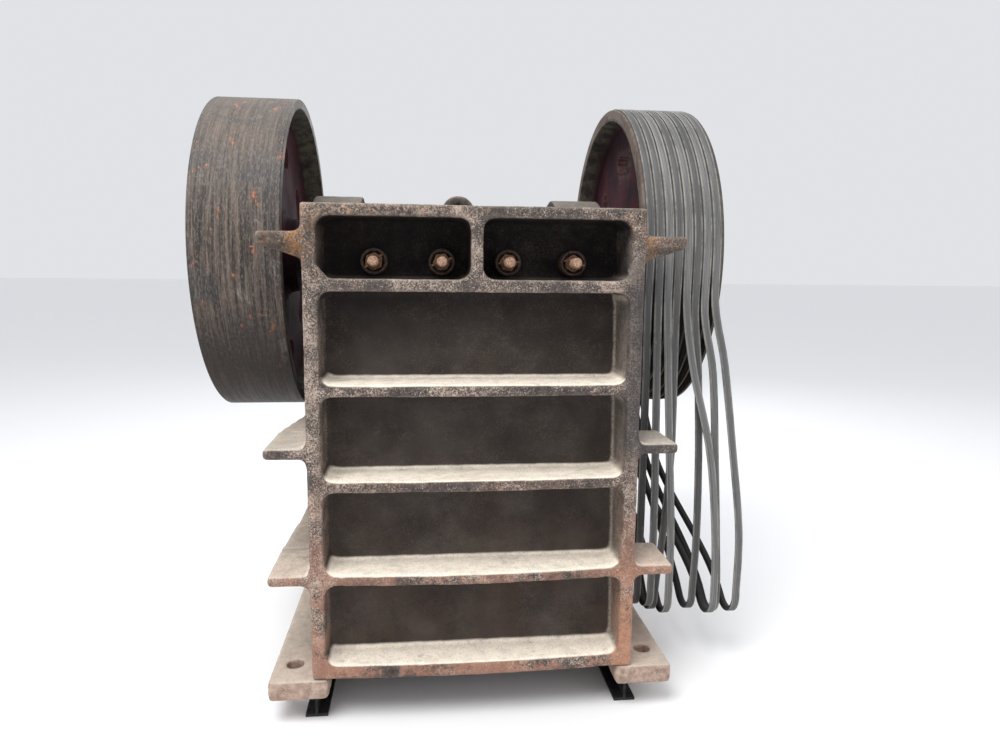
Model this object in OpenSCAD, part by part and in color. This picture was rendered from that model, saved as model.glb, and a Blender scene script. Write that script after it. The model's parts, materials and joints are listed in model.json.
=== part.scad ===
// Single toggle jaw crusher with a cast frame, standing on two short beams.
// X runs along the shaft, Y from the ribbed front wall to the back, Z up.

/* [Frame] */
// Width over the front wall
frame_w = 1154; // [1100:1:1250]
// Length of the frame from the front plane to the back
frame_len = 1400; // [1380:1:1500]
// Clear width between the side walls
chamber_w = 810; // [790:1:840]
// Thickness of each side wall
side_wall_t = 70; // [50:1:80]
// Depth from the front plane to the back of the front wall
front_depth = 270; // [255:1:290]

/* [Front wall] */
// Width of the upright flange at each side
flange_w = 50; // [40:1:70]
// Width of the upright rib between the two top pockets
centre_rib_w = 43; // [30:1:60]
// Height of the bottom bar
bottom_bar_h = 57; // [40:1:70]
// Height of each shelf rib
shelf_t = 44; // [30:1:60]
// Distance from one shelf to the next
shelf_pitch = 333; // [320:1:345]
// Distance from the upper shelf to the rib under the top pockets
upper_pitch = 353; // [340:1:365]
// Clear height of the two top pockets
top_pocket_h = 203; // [180:1:230]
// Height of the top bar
top_bar_h = 41; // [30:1:60]
// Depth of the pockets at the bottom bar
pocket_depth_low = 130; // [100:1:150]
// Depth of the pockets at the top bar
pocket_depth_high = 215; // [180:1:225]
// Radius of the pocket corners
pocket_r = 38; // [15:1:60]
// How far the middle of the deepest bowed shelf stands forward
shelf_bow = 26; // [10:1:40]

/* [Side ribs and feet] */
// Reach of the side ribs from the centre plane
rib_reach = 722; // [700:1:740]
// Thickness of the side ribs
side_rib_t = 42; // [30:1:50]
// Height of the middle side rib above the middle shelf
middle_rib_rise = 75; // [40:1:76]
// Distance from the front plane to where the left ribs stop narrowing
rib_taper_end = 600; // [400:1:700]
// Gap between the right ribs and the plane of the pulley's inner face
rib_room = 22; // [10:1:60]
// How far the left middle rib narrows on its way back
rib_taper = 46; // [40:1:60]
// Length of the right ribs, which stop short of the belts
right_rib_len = 236; // [150:1:240]
// Depth of the two top lugs
lug_len = 200; // [100:1:225]
// Height of the top lugs above the shelf below them
lug_rise = 463; // [440:1:480]
// Height of the root of the gusset under each top lug
lug_gusset_h = 49; // [20:1:70]
// Reach of the feet from the centre plane
foot_reach = 733; // [720:1:760]
// Thickness of the feet
foot_t = 72; // [50:1:90]
// Distance from the centre plane to the toe of each foot
toe_x = 518; // [490:1:530]
// Radius of each foundation bolt hole
foot_hole_r = 30; // [20:1:32]
// Distance between the holes across the machine
foot_hole_x = 1310; // [1300:1:1330]
// Distance from each end of a foot to its hole
foot_hole_end = 131; // [80:1:160]

/* [Support beams] */
// Height of the beams under the feet
beam_h = 100; // [80:1:160]
// Width of the beams
beam_w = 80; // [60:1:90]
// Thickness of the beam flanges
beam_flange_t = 11; // [8:1:16]
// Thickness of the beam webs
beam_web_t = 9; // [6:1:14]
// Distance from the centre plane to the middle of each beam
beam_x = 572; // [560:1:575]
// Distance from the ends of the frame to the ends of the beams
beam_inset = 60; // [20:1:100]

/* [Shaft] */
// Distance from the front plane to the shaft
shaft_y = 903; // [895:1:915]
// Height of the shaft above the top of the bottom bar
shaft_rise = 1442; // [1430:1:1455]
// Length of the shaft
shaft_len = 2196; // [2150:1:2250]
// Radius of the shaft in the wheels
shaft_r = 70; // [60:1:72]
// Radius of the shaft in the bearings
journal_r = 78; // [74:1:80]
// Radius of the eccentric journal in the swing jaw
eccentric_r = 100; // [96:1:110]
// Throw of the eccentric journal
throw = 14; // [8:1:15]
// Running clearance of the shaft in its bearings
running_gap = 0.05; // [0.02:0.01:0.09]

/* [Bearings] */
// How far the bearings stand left of the centre plane
bearing_shift = 22; // [0:1:30]
// Radius of the bearing housings
housing_r = 259; // [240:1:270]
// Width of the bearing housings along the shaft
housing_w = 210; // [180:1:214]
// Gap between a side wall and the inner end of its housing
housing_inset = 10; // [6:1:20]
// Height from the bearing seat to the shaft
seat_drop = 200; // [180:1:215]
// Length of the bearing feet from front to back
housing_foot_l = 640; // [600:1:660]
// Thickness of the cap flanges
cap_flange_t = 52; // [40:1:60]
// How far the flanges of the bearings stand out beyond their housings
bearing_flange = 36; // [34:1:40]
// Thickness of the seat under each bearing
seat_t = 40; // [30:1:50]
// Thickness of the upright ribs under each seat
seat_rib_t = 44; // [30:1:60]

/* [Wheels] */
// Radius of both wheels
wheel_r = 650; // [640:1:656]
// Width of the flywheel
flywheel_w = 323; // [300:1:330]
// Distance from the centre plane to the inner face of the flywheel
flywheel_x = 686; // [680:1:700]
// Thickness of the flywheel rim
flywheel_rim_t = 42; // [35:1:60]
// Distance from the centre plane to the inner face of the belt pulley
pulley_x = 642; // [638:1:660]
// Thickness of the belt pulley rim
pulley_rim_t = 48; // [44:1:60]
// Depth from the inner face of a wheel to its web
web_recess = 95; // [80:1:110]
// Thickness of the wheel webs
web_t = 45; // [30:1:60]
// Radius of the wheel hubs
hub_r = 155; // [130:1:180]
// How far the hubs stand out from the webs on the inner side
hub_stand = 62; // [40:1:80]
// Number of windows in each web
window_n = 6; // [4:1:7]
// Distance from the shaft to the middle of the windows
window_at = 430; // [400:1:450]
// Length of the windows
window_l = 240; // [150:1:260]
// Width of the windows
window_w = 100; // [60:1:120]
// Thickness of the locking discs at the shaft ends
lock_disc_t = 30; // [20:1:40]
// Radius of the locking discs at the shaft ends
lock_disc_r = 118; // [100:1:128]

/* [Belts] */
// Number of belts and grooves
belt_n = 8; // [4:1:8]
// Distance from groove to groove
belt_pitch = 37; // [36:1:38]
// Width of a belt at its outer face
belt_w = 32; // [30:0.5:33]
// Width of a belt at its inner face
belt_inner_w = 18; // [16:0.5:20]
// Thickness of a belt
belt_t = 19; // [16:0.5:21]
// How far a belt stands out of its groove
belt_proud = 4; // [3:0.5:6]
// Gap between a belt and the walls of its groove
belt_gap = 0.4; // [0.3:0.1:0.8]
// Depth of the grooves
groove_depth = 27; // [25:0.5:32]
// Radius of the bend at the bottom of a hanging belt
belt_bend_r = 85; // [70:1:100]
// Distance from the front plane to the middle of the foremost bends
belt_bend_y = 335; // [330:1:360]
// Height of the middle of the highest bend
belt_bend_z = 336; // [330:1:400]
// How far the bends of the rear belts lie behind the foremost ones
belt_spread = 65; // [62:1:90]

/* [Jaws] */
// Thickness of the jaw plates over their teeth
jaw_t = 75; // [60:1:90]
// Height of the teeth of the jaw plates
tooth_h = 32; // [20:1:40]
// Number of teeth across the fixed jaw
tooth_n = 10; // [6:1:12]
// Height of the ledge under the fixed jaw plate
jaw_ledge_h = 18; // [15:1:20]
// Height of the fixed jaw plate
fixed_jaw_h = 1390; // [1350:1:1395]
// Thickness of the cheek plates
cheek_t = 28; // [20:1:28]
// Gap between the cheek plates and the fixed jaw or a bearing
cheek_gap = 8; // [5:1:10]
// Height of the clamp bar above the fixed jaw
clamp_bar_h = 110; // [90:1:130]
// Thickness of the clamp bar
clamp_bar_t = 80; // [60:1:90]
// How much the clamp bar narrows towards its top
clamp_slope = 20; // [10:1:30]
// Gap between the jaw plates at the outlet
outlet_gap = 62; // [55:1:80]
// Lean of the swing jaw from upright
jaw_lean = 10; // [9.5:0.1:10.5]
// Height of the swing jaw's lower edge above the bottom of the front wall
swing_jaw_rise = 130; // [120:1:150]
// Length of the swing jaw plate
swing_plate_l = 1260; // [1200:1:1280]
// Distance along the swing jaw from its lower edge to its plate
swing_plate_foot = 14; // [8:1:20]
// Height of the bar above the swing jaw plate
swing_bar_h = 70; // [50:1:75]
// Thickness of the bar above the swing jaw plate
swing_bar_t = 60; // [40:1:70]
// Clearance beside the swing jaw
jaw_side_gap = 7; // [6:1:12]
// Gap between a fixed plate or bar and the side walls beside it
plate_gap = 2; // [1:0.5:4]
// Radius of the swing jaw's head round the shaft
head_r = 200; // [180:1:205]
// Thickness of the swing jaw's back plate
back_plate_t = 70; // [50:1:80]
// Number of ribs on the back of the swing jaw
back_rib_n = 4; // [3:1:5]
// Thickness of the ribs on the back of the swing jaw
back_rib_t = 40; // [30:1:50]
// Radius of the lifting eye
eye_r = 74; // [50:1:80]
// Thickness of the lifting eye
eye_t = 50; // [30:1:60]
// Height of the middle of the lifting eye above the swing jaw's head
eye_rise = 13; // [5:1:20]
// Radius of the hole in the lifting eye
eye_hole_r = 24; // [15:1:30]
// Height of the hole above the middle of the lifting eye
eye_hole_up = 9; // [5:1:20]

/* [Toggle] */
// Thickness of the toggle plate
toggle_t = 42; // [30:1:50]
// Width of the toggle plate
toggle_w = 640; // [500:1:700]
// Height of the toggle's front end above the bottom of the front wall
toggle_front_rise = 275; // [265:1:285]
// Height of the toggle's back end above the bottom of the front wall
toggle_back_rise = 388; // [380:1:400]
// Running room for the swing jaw round the front end of the toggle
toggle_room = 20; // [19.5:0.5:22]
// Distance from the swing jaw's back plate to the front end of the toggle
toggle_stand = 100; // [90:1:110]
// How deep the middle of the toggle's end lies in its seat
toggle_in = 4; // [2:0.5:6]
// Thickness of the seat behind the toggle
toggle_seat_t = 70; // [50:1:75]
// Height of the toggle's seat above and below the toggle
seat_reach = 85; // [70:1:100]
// Thickness of the adjusting wedge
wedge_t = 60; // [40:1:62]
// Height of the wedge above and below the toggle
wedge_reach = 110; // [100:1:130]
// How much higher the wedge is at the back wall
wedge_rise = 20; // [10:1:30]
// Gap between the wedge and a side wall
wedge_gap = 40; // [20:1:60]
// Thickness of the back wall
back_wall_t = 60; // [45:1:70]
// Height of the back wall
back_wall_h = 1010; // [950:1:1050]
// Depth of the ribs behind the back wall
wall_rib_depth = 100; // [80:1:110]
// Height of the lowest rib above the foot of the back wall
wall_rib_rise = 200; // [180:1:220]
// Distance from one rib of the back wall to the next
wall_rib_pitch = 230; // [200:1:240]
// Distance from the centre plane to the upright ribs of the back wall
wall_rib_x = 220; // [150:1:300]
// Thickness of the upright ribs of the back wall
wall_rib_t = 40; // [30:1:50]
// Radius of the tension rod
rod_r = 20; // [16:1:24]
// Height of the tension rod above the bottom of the front wall
rod_rise = 70; // [65:1:80]
// Radius of the spring round the tension rod
spring_r = 48; // [40:1:50]
// Length of the spring
spring_l = 110; // [90:1:120]

/* [Clamp bolts] */
// Distance between the two bolts of a pocket
bolt_pitch = 232; // [220:1:240]
// Distance from the inside of a side wall to the bolt beside it
bolt_side = 57; // [50:1:70]
// Radius of the clamp bolts
bolt_r = 18; // [15:1:20]
// Width of the nuts across flats
nut_af = 55; // [50:1:60]
// Height of the nuts
nut_h = 29; // [22:1:34]
// Radius of the cups under the nuts
cup_r = 46; // [40:1:50]
// Distance from the front plane to the face of the cups
cup_face_y = 115; // [100:1:130]
// Wall of the cups
cup_wall = 12; // [8:1:14]
// Depth of the cups
cup_depth = 24; // [15:1:40]
// Distance from the front plane to the ends of the bolts
bolt_end_y = 48; // [40:1:60]
// Height of the bolts above the floor of their pocket
bolt_rise = 58; // [54:1:110]

/* [Hidden] */
// Small gap between pieces of different bodies or round a fitted pin
fit = 0.3;
// Overrun of the cutting shapes
over = 1;
// Steps round the upper and the lower bend of a belt, and along each straight run
belt_steps = 76;
belt_bend_steps = 12;
belt_run_steps = 10;
// Share of the way down at which the back run of a belt starts to drift
rear_drift_start = 0.45;
// Facets of a circle; each becomes a true curve
$fn = 96;
// Shares of the way down at which the drift of a belt's front run is given
drift_shares = [0.1, 0.3, 0.55, 0.8, 1];
// How each belt hangs: 1 if its bend is a rear one, its drop below the highest bend, and its drift
// to the right at each of the shares
belt_routes = [
    [1, 20, [0, 6, 12, 17, 18]],
    [0, 0, [0, 4, 12, 18, 16]],
    [0, 32, [0, 12, 32, 52, 53]],
    [1, 46, [0, 6, 14, 0, -20]],
    [0, 40, [0, 36, 122, 162, 170]],
    [1, 48, [0, 29, 54, 68, 66]],
    [1, 66, [0, 52, 86, 116, 134]],
    [0, 36, [0, 53, 105, 150, 152]]
];

// Heights, counted from the ground under the beams
foot_z = beam_h;
wall_z = foot_z + foot_t;
shelf3_top = wall_z + bottom_bar_h + shelf_pitch;
shelf2_top = shelf3_top + shelf_pitch;
shelf1_top = shelf2_top + shelf_pitch;
pocket_floor_z = shelf1_top + upper_pitch;
top_bar_z = pocket_floor_z + top_pocket_h;
wall_top = top_bar_z + top_bar_h;
bar_tops = [wall_z + bottom_bar_h, shelf3_top, shelf2_top, shelf1_top, pocket_floor_z];
bolt_z = pocket_floor_z + bolt_rise;
lug_top_z = shelf1_top + lug_rise + side_rib_t;
middle_rib_top = shelf2_top + middle_rib_rise + side_rib_t;
shaft_z = wall_z + bottom_bar_h + shaft_rise;
seat_z = shaft_z - seat_drop;

// Widths, counted from the centre plane
half_w = frame_w / 2;
side_in = chamber_w / 2;
side_out = side_in + side_wall_t;
pocket_half = half_w - flange_w;
housing_in = side_in + housing_inset;
housing_out = housing_in + housing_w;
head_half = housing_in - bearing_shift - 8;
cheek_in = side_in - cheek_t;
jaw_half = cheek_in - jaw_side_gap;
groove_edge = (belt_n * belt_pitch) / 2;
pulley_w = 2 * groove_edge + 19;
belt_x0 = pulley_x + pulley_w / 2 - (belt_n - 1) * belt_pitch / 2;

// The widest bow of each bar of the front wall, from the bottom up
bows = [0.65 * shelf_bow, shelf_bow, 0.65 * shelf_bow, 0.3 * shelf_bow, 0];

// The middle of the whole machine from front to back
back_end = shaft_y + wheel_r + belt_proud;
middle_y = (back_end - shelf_bow) / 2;

// Jaw plates: the seats are lines in the plane across the shaft
fixed_face_y = front_depth + jaw_t;
plate_foot_z = wall_z + jaw_ledge_h;
clamp_z = plate_foot_z + fixed_jaw_h;
swing_z0 = wall_z + swing_jaw_rise;
swing_face_y0 = fixed_face_y + outlet_gap;
swing_seat_y0 = swing_face_y0 + jaw_t / cos(jaw_lean);
function seat_y(z) = swing_seat_y0 + (z - swing_z0) * tan(jaw_lean);
eccentric_z = shaft_z - throw;

// Toggle: its two ends, in the plane across the shaft
toggle_front_z = wall_z + toggle_front_rise;
toggle_back_z = wall_z + toggle_back_rise;
back_wall_y = frame_len - wall_rib_depth - back_wall_t;
wedge_y = back_wall_y - wedge_t;
toggle_seat_y = wedge_y - toggle_seat_t;
toggle_end_r = toggle_t / 2 + 6;
toggle_back_y = toggle_seat_y + toggle_in;
toggle_front_y = seat_y(toggle_front_z) + back_plate_t + toggle_stand;
rod_z = wall_z + rod_rise;

// Colours
cast_brown = [0.42, 0.36, 0.33];
cast_dark = [0.25, 0.23, 0.22];
rim_brown = [0.27, 0.24, 0.23];
pulley_grey = [0.45, 0.44, 0.44];
belt_grey = [0.30, 0.30, 0.29];
manganese = [0.40, 0.38, 0.37];
rust_orange = [0.62, 0.38, 0.22];
steel_dark = [0.18, 0.18, 0.20];

// Moves a piece drawn from the front plane to the middle of the machine
module placed() {
    translate([0, -middle_y, 0]) children();
}

// A prism along X with its outline in the plane across the shaft
module across(x0, x1, points) {
    translate([x0, 0, 0])
        rotate([90, 0, 90])
            linear_extrude(x1 - x0) polygon(points);
}

// A cylinder along X
module rod_x(x0, x1, y, z, r) {
    translate([x0, y, z]) rotate([0, 90, 0]) cylinder(h = x1 - x0, r = r);
}

// A cylinder along Y
module rod_y(y0, y1, x, z, r) {
    translate([x, y0, z]) rotate([-90, 0, 0]) cylinder(h = y1 - y0, r = r);
}

// A box between two corners
module block(a, b) {
    translate(a) cube(b - a);
}

// A rectangle with round corners, from its lower left corner
module round_rect(w, h, r) {
    translate([r, 0]) square([w - 2 * r, h]);
    translate([0, r]) square([w, h - 2 * r]);
    for (x = [r, w - r]) {
        for (y = [r, h - r]) {
            translate([x, y]) circle(r);
        }
    }
}

// Depth of the pockets at a height
function pocket_depth(z) =
    pocket_depth_low + (pocket_depth_high - pocket_depth_low) * (z - bar_tops[0]) / (top_bar_z - bar_tops[0]);

// A pocket of the front wall, open to the front
module pocket(x0, x1, z0, z1) {
    intersection() {
        translate([x0, front_depth, z0])
            rotate([90, 0, 0])
                linear_extrude(front_depth + 2 * shelf_bow) round_rect(x1 - x0, z1 - z0, pocket_r);
        across(x0 - over, x1 + over, [
            [-2 * shelf_bow, z0 - over], [pocket_depth(z0 - over), z0 - over],
            [pocket_depth(z1 + over), z1 + over], [-2 * shelf_bow, z1 + over]
        ]);
    }
}

// The forward bow of one bar of the front wall
module bow(z0, z1, rise) {
    bow_r = (pocket_half * pocket_half + rise * rise) / (2 * rise);
    intersection() {
        translate([0, bow_r - rise, z0]) cylinder(h = z1 - z0, r = bow_r, $fn = 360);
        block([-pocket_half, -2 * rise, z0], [pocket_half, over, z1]);
    }
}

module front_wall() {
    color(cast_brown) placed() difference() {
        union() {
            block([-half_w, 0, wall_z], [half_w, front_depth, wall_top]);
            bow(wall_z, bar_tops[0], bows[0]);
            for (i = [1, 2, 3]) bow(bar_tops[i] - shelf_t, bar_tops[i], bows[i]);
            block([-side_in + fit, front_depth - over, wall_z],
                [side_in - fit, front_depth + jaw_t / 2, plate_foot_z]);
            front_lugs(right_rib_len);
            mirror([1, 0, 0]) front_lugs(front_depth);
        }
        for (i = [0, 1, 2, 3]) pocket(-pocket_half, pocket_half, bar_tops[i], bar_tops[i + 1] - shelf_t);
        pocket(-pocket_half, -centre_rib_w / 2, pocket_floor_z, top_bar_z);
        pocket(centre_rib_w / 2, pocket_half, pocket_floor_z, top_bar_z);
        for (i = [0 : 3]) rod_y(pocket_depth_low, front_depth + over, bolt_x(i), bolt_z, bolt_r + fit);
    }
}

// The parts of the side ribs that stand beside the front wall, for the right side
module front_lugs(len) {
    for (z = [middle_rib_top, shelf3_top]) block([half_w - over, 0, z - side_rib_t], [rib_reach, len, z]);
    top_lug();
}

// The place of a clamp bolt across the wall, counted from the left: two pairs, each beside a side wall
function bolt_x(i) = (i < 2 ? -1 : 1) * (side_in - bolt_side - (i == 1 || i == 2 ? bolt_pitch : 0));

// A side wall for the right side, without its ribs; the bearing seat reaches out to seat_x
module side_plate(seat_x) {
    seat_a = shaft_y - housing_foot_l / 2;
    seat_b = shaft_y + housing_foot_l / 2;
    across(side_in, side_out, [
        [front_depth, wall_z], [frame_len, wall_z], [frame_len, wall_z + back_wall_h],
        [seat_b + 60, seat_z + 60], [seat_b + fit, seat_z + 60], [seat_b + fit, seat_z],
        [seat_a - fit, seat_z], [seat_a - fit, seat_z + 90], [seat_a - 60, wall_top],
        [front_depth, wall_top]
    ]);
    block([side_out - over, seat_a - fit, seat_z - seat_t], [seat_x, seat_b + fit, seat_z]);
    for (y = [seat_a + 60, shaft_y, seat_b - 60]) {
        across(side_out - over, seat_x - 40, [
            [y - seat_rib_t / 2, middle_rib_top - over], [y + seat_rib_t / 2, middle_rib_top - over],
            [y + seat_rib_t / 2, seat_z - over], [y - seat_rib_t / 2, seat_z - over]
        ]);
    }
}

// A rib along the right side wall, behind the front wall
module side_rib(z_top, reach_front, reach_back, taper_end) {
    translate([0, 0, z_top - side_rib_t]) linear_extrude(side_rib_t) polygon([
        [side_out - over, front_depth], [reach_front, front_depth], [reach_back, taper_end],
        [reach_back, frame_len], [side_out - over, frame_len]
    ]);
}

// The short lug at the top of the front wall, with its gusset, for the right side
module top_lug() {
    lug_z = lug_top_z - side_rib_t;
    block([half_w - over, 0, lug_z], [rib_reach, lug_len, lug_top_z]);
    translate([0, lug_len, 0]) rotate([90, 0, 0]) linear_extrude(lug_len - 25) polygon([
        [half_w - over, lug_z - lug_gusset_h], [rib_reach, lug_z],
        [rib_reach, lug_z + over], [half_w - over, lug_z + over]
    ]);
}

module side_wall_right() {
    reach = pulley_x - rib_room;
    color(cast_brown) placed() {
        side_plate(housing_out - bearing_shift);
        for (z = [middle_rib_top, shelf3_top]) side_rib(z, reach, reach, frame_len / 2);
    }
}

module side_wall_left() {
    color(cast_brown) placed() mirror([1, 0, 0]) {
        side_plate(housing_out + bearing_shift);
        side_rib(middle_rib_top, rib_reach, rib_reach - rib_taper, rib_taper_end);
        side_rib(shelf3_top, rib_reach, rib_reach - rib_taper / 3, rib_taper_end);
    }
}

// A foot for the right side: a bar with the foundation holes
module foot() {
    difference() {
        translate([0, 0, foot_z]) linear_extrude(foot_t) polygon([
            [toe_x + 12, 0], [foot_reach - 12, 0], [foot_reach, 12], [foot_reach, frame_len],
            [side_in, frame_len], [side_in, front_depth], [toe_x, front_depth], [toe_x, 12]
        ]);
        for (y = [foot_hole_end, frame_len - foot_hole_end]) {
            translate([foot_hole_x / 2, y, foot_z - over]) cylinder(h = foot_t + 2 * over, r = foot_hole_r);
        }
    }
}

module foot_right() {
    color(cast_brown) placed() foot();
}

module foot_left() {
    color(cast_brown) placed() mirror([1, 0, 0]) foot();
}

// A short steel beam under a foot
module beam() {
    f = beam_flange_t;
    len = frame_len - 2 * beam_inset;
    translate([beam_x, beam_inset + len, 0]) rotate([90, 0, 0]) linear_extrude(len) {
        translate([-beam_w / 2, 0]) square([beam_w, f]);
        translate([-beam_w / 2, beam_h - f]) square([beam_w, f]);
        translate([-beam_web_t / 2, f - over]) square([beam_web_t, beam_h - 2 * f + 2 * over]);
    }
}

module beam_right() {
    color(steel_dark) placed() beam();
}

module beam_left() {
    color(steel_dark) placed() mirror([1, 0, 0]) beam();
}

module back_wall() {
    top = wall_z + back_wall_h;
    rib_z = wall_z + wall_rib_rise;
    color(cast_brown) placed() difference() {
        union() {
            block([-side_in, back_wall_y, wall_z], [side_in, back_wall_y + back_wall_t, top]);
            for (z = [rib_z, rib_z + wall_rib_pitch, rib_z + 2 * wall_rib_pitch, top - shelf_t]) {
                block([-side_in, back_wall_y + back_wall_t - over, z], [side_in, frame_len, z + shelf_t]);
            }
            for (x = [-wall_rib_x, wall_rib_x]) {
                block([x - wall_rib_t / 2, back_wall_y + back_wall_t - over, rib_z],
                    [x + wall_rib_t / 2, frame_len, top]);
            }
        }
        rod_y(back_wall_y - over, back_wall_y + back_wall_t + over, 0, rod_z, rod_r + 4);
    }
}

// Lower half of a bearing, for the right side
module bearing_base() {
    difference() {
        union() {
            intersection() {
                rod_x(housing_in, housing_out, shaft_y, shaft_z, housing_r);
                block([housing_in - over, 0, seat_z], [housing_out + over, 2 * shaft_y, shaft_z]);
            }
            block([housing_in, shaft_y - housing_foot_l / 2, seat_z],
                [housing_out, shaft_y + housing_foot_l / 2, seat_z + 60]);
            block([housing_in, shaft_y - housing_r - bearing_flange, seat_z],
                [housing_out, shaft_y + housing_r + bearing_flange, shaft_z]);
        }
        rod_x(housing_in - over, housing_out + over, shaft_y, shaft_z, journal_r + running_gap);
    }
}

// Upper half of a bearing, for the right side
module bearing_cap() {
    difference() {
        union() {
            intersection() {
                rod_x(housing_in, housing_out, shaft_y, shaft_z, housing_r);
                block([housing_in - over, 0, shaft_z],
                    [housing_out + over, 2 * shaft_y, shaft_z + 2 * housing_r]);
            }
            block([housing_in, shaft_y - housing_r - bearing_flange, shaft_z],
                [housing_out, shaft_y + housing_r + bearing_flange, shaft_z + cap_flange_t]);
            for (x = [housing_in + 45, housing_out - 45]) {
                for (s = [-1, 1]) {
                    translate([x, shaft_y + s * (housing_r + 4), shaft_z + cap_flange_t - over])
                        cylinder(h = 26, r = 26, $fn = 6);
                }
            }
        }
        rod_x(housing_in - over, housing_out + over, shaft_y, shaft_z, journal_r + running_gap);
    }
}

module bearing_base_right() {
    color(cast_brown) placed() translate([-bearing_shift, 0, 0]) bearing_base();
}

module bearing_base_left() {
    color(cast_brown) placed() translate([-bearing_shift, 0, 0]) mirror([1, 0, 0]) bearing_base();
}

module bearing_cap_right() {
    color(cast_brown) placed() translate([-bearing_shift, 0, 0]) bearing_cap();
}

module bearing_cap_left() {
    color(cast_brown) placed() translate([-bearing_shift, 0, 0]) mirror([1, 0, 0]) bearing_cap();
}

// Outline of a toothed plate seen along its height, teeth towards +Y
module toothed(w, n) {
    pitch = w / n;
    base = jaw_t - tooth_h;
    polygon(concat(
        [[w / 2, 0], [-w / 2, 0]],
        [for (i = [0 : n - 1]) each [
            [-w / 2 + i * pitch, base], [-w / 2 + (i + 0.35) * pitch, jaw_t],
            [-w / 2 + (i + 0.65) * pitch, jaw_t], [-w / 2 + (i + 1) * pitch, base]
        ]]
    ));
}

module fixed_jaw() {
    color(manganese) placed()
        translate([0, front_depth, plate_foot_z]) linear_extrude(fixed_jaw_h)
            toothed(2 * (side_in - plate_gap), tooth_n);
}

// The bar that holds the fixed jaw down, drawn up by the four bolts
module jaw_clamp_bar() {
    color(manganese) placed() difference() {
        across(-side_in + plate_gap, side_in - plate_gap, [
            [front_depth, clamp_z], [front_depth + clamp_bar_t, clamp_z],
            [front_depth + clamp_bar_t - clamp_slope, clamp_z + clamp_bar_h],
            [front_depth, clamp_z + clamp_bar_h]
        ]);
        for (i = [0 : 3]) {
            rod_y(front_depth - over, front_depth + clamp_bar_t + over, bolt_x(i), bolt_z, bolt_r + fit);
        }
    }
}

// A cheek plate on the right side wall
module cheek() {
    z0 = plate_foot_z;
    z1 = clamp_z;
    neck_z = seat_z - cheek_gap;
    neck_y = shaft_y - housing_foot_l / 2 - cheek_gap;
    across(cheek_in, side_in, [
        [fixed_face_y + cheek_gap, z0], [seat_y(z0 + 60), z0], [seat_y(neck_z - 180), neck_z - 180],
        [seat_y(neck_z - 180), neck_z], [neck_y, neck_z], [neck_y, z1], [fixed_face_y + cheek_gap, z1]
    ]);
}

module cheek_plate_right() {
    color(manganese) placed() cheek();
}

module cheek_plate_left() {
    color(manganese) placed() mirror([1, 0, 0]) cheek();
}

// A clamp bolt with its square head inside the chamber
module clamp_bolt(i) {
    color(rust_orange) placed() {
        rod_y(bolt_end_y, front_depth + clamp_bar_t + over, bolt_x(i), bolt_z, bolt_r);
        block([bolt_x(i) - nut_af / 2, front_depth + clamp_bar_t, bolt_z - nut_af / 2],
            [bolt_x(i) + nut_af / 2, front_depth + clamp_bar_t + 20, bolt_z + nut_af / 2]);
    }
}

// The four dished cups between the pocket back and the nuts
module clamp_cups() {
    back_y = pocket_depth(bolt_z - cup_r) - fit;
    color(cast_dark) placed() for (i = [0 : 3]) {
        difference() {
            rod_y(cup_face_y, back_y, bolt_x(i), bolt_z, cup_r);
            rod_y(cup_face_y - over, cup_face_y + cup_depth, bolt_x(i), bolt_z, cup_r - cup_wall);
            rod_y(cup_face_y, back_y + over, bolt_x(i), bolt_z, bolt_r + fit);
        }
    }
}

module clamp_nuts() {
    back_y = cup_face_y + cup_depth;
    color(rust_orange) placed() for (i = [0 : 3]) {
        difference() {
            translate([bolt_x(i), back_y, bolt_z]) rotate([90, 0, 0])
                cylinder(h = nut_h, r = nut_af / 2 / cos(30), $fn = 6);
            rod_y(back_y - nut_h - over, back_y + over, bolt_x(i), bolt_z, bolt_r + fit);
        }
    }
}

module toggle_plate() {
    dy = toggle_back_y - toggle_front_y;
    dz = toggle_back_z - toggle_front_z;
    lean = atan2(dz, dy);
    span = sqrt(dy * dy + dz * dz);
    color(cast_dark) placed() {
        translate([0, toggle_front_y, toggle_front_z]) rotate([lean, 0, 0])
            block([-toggle_w / 2, 0, -toggle_t / 2], [toggle_w / 2, span, toggle_t / 2]);
        rod_x(-toggle_w / 2, toggle_w / 2, toggle_front_y, toggle_front_z, toggle_end_r);
        rod_x(-toggle_w / 2, toggle_w / 2, toggle_back_y, toggle_back_z, toggle_end_r);
    }
}

// The grooved block that the back end of the toggle rests in
module toggle_seat() {
    color(cast_dark) placed() difference() {
        block([-side_in + plate_gap, toggle_seat_y, toggle_back_z - seat_reach],
            [side_in - plate_gap, wedge_y, toggle_back_z + seat_reach]);
        rod_x(-side_in, side_in, toggle_back_y, toggle_back_z, toggle_end_r + fit);
    }
}

module adjusting_wedge() {
    color(cast_dark) placed()
        across(-side_in + wedge_gap, side_in - wedge_gap, [
            [wedge_y, toggle_back_z - wedge_reach], [back_wall_y, toggle_back_z - wedge_reach],
            [back_wall_y, toggle_back_z + wedge_reach + wedge_rise], [wedge_y, toggle_back_z + wedge_reach]
        ]);
}

// The rod that keeps the toggle in its seats
module tension_rod() {
    nose_y = seat_y(rod_z + 60) + back_plate_t + 30;
    color(rust_orange) placed() rod_y(nose_y, back_end - 6, 0, rod_z, rod_r);
}

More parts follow.
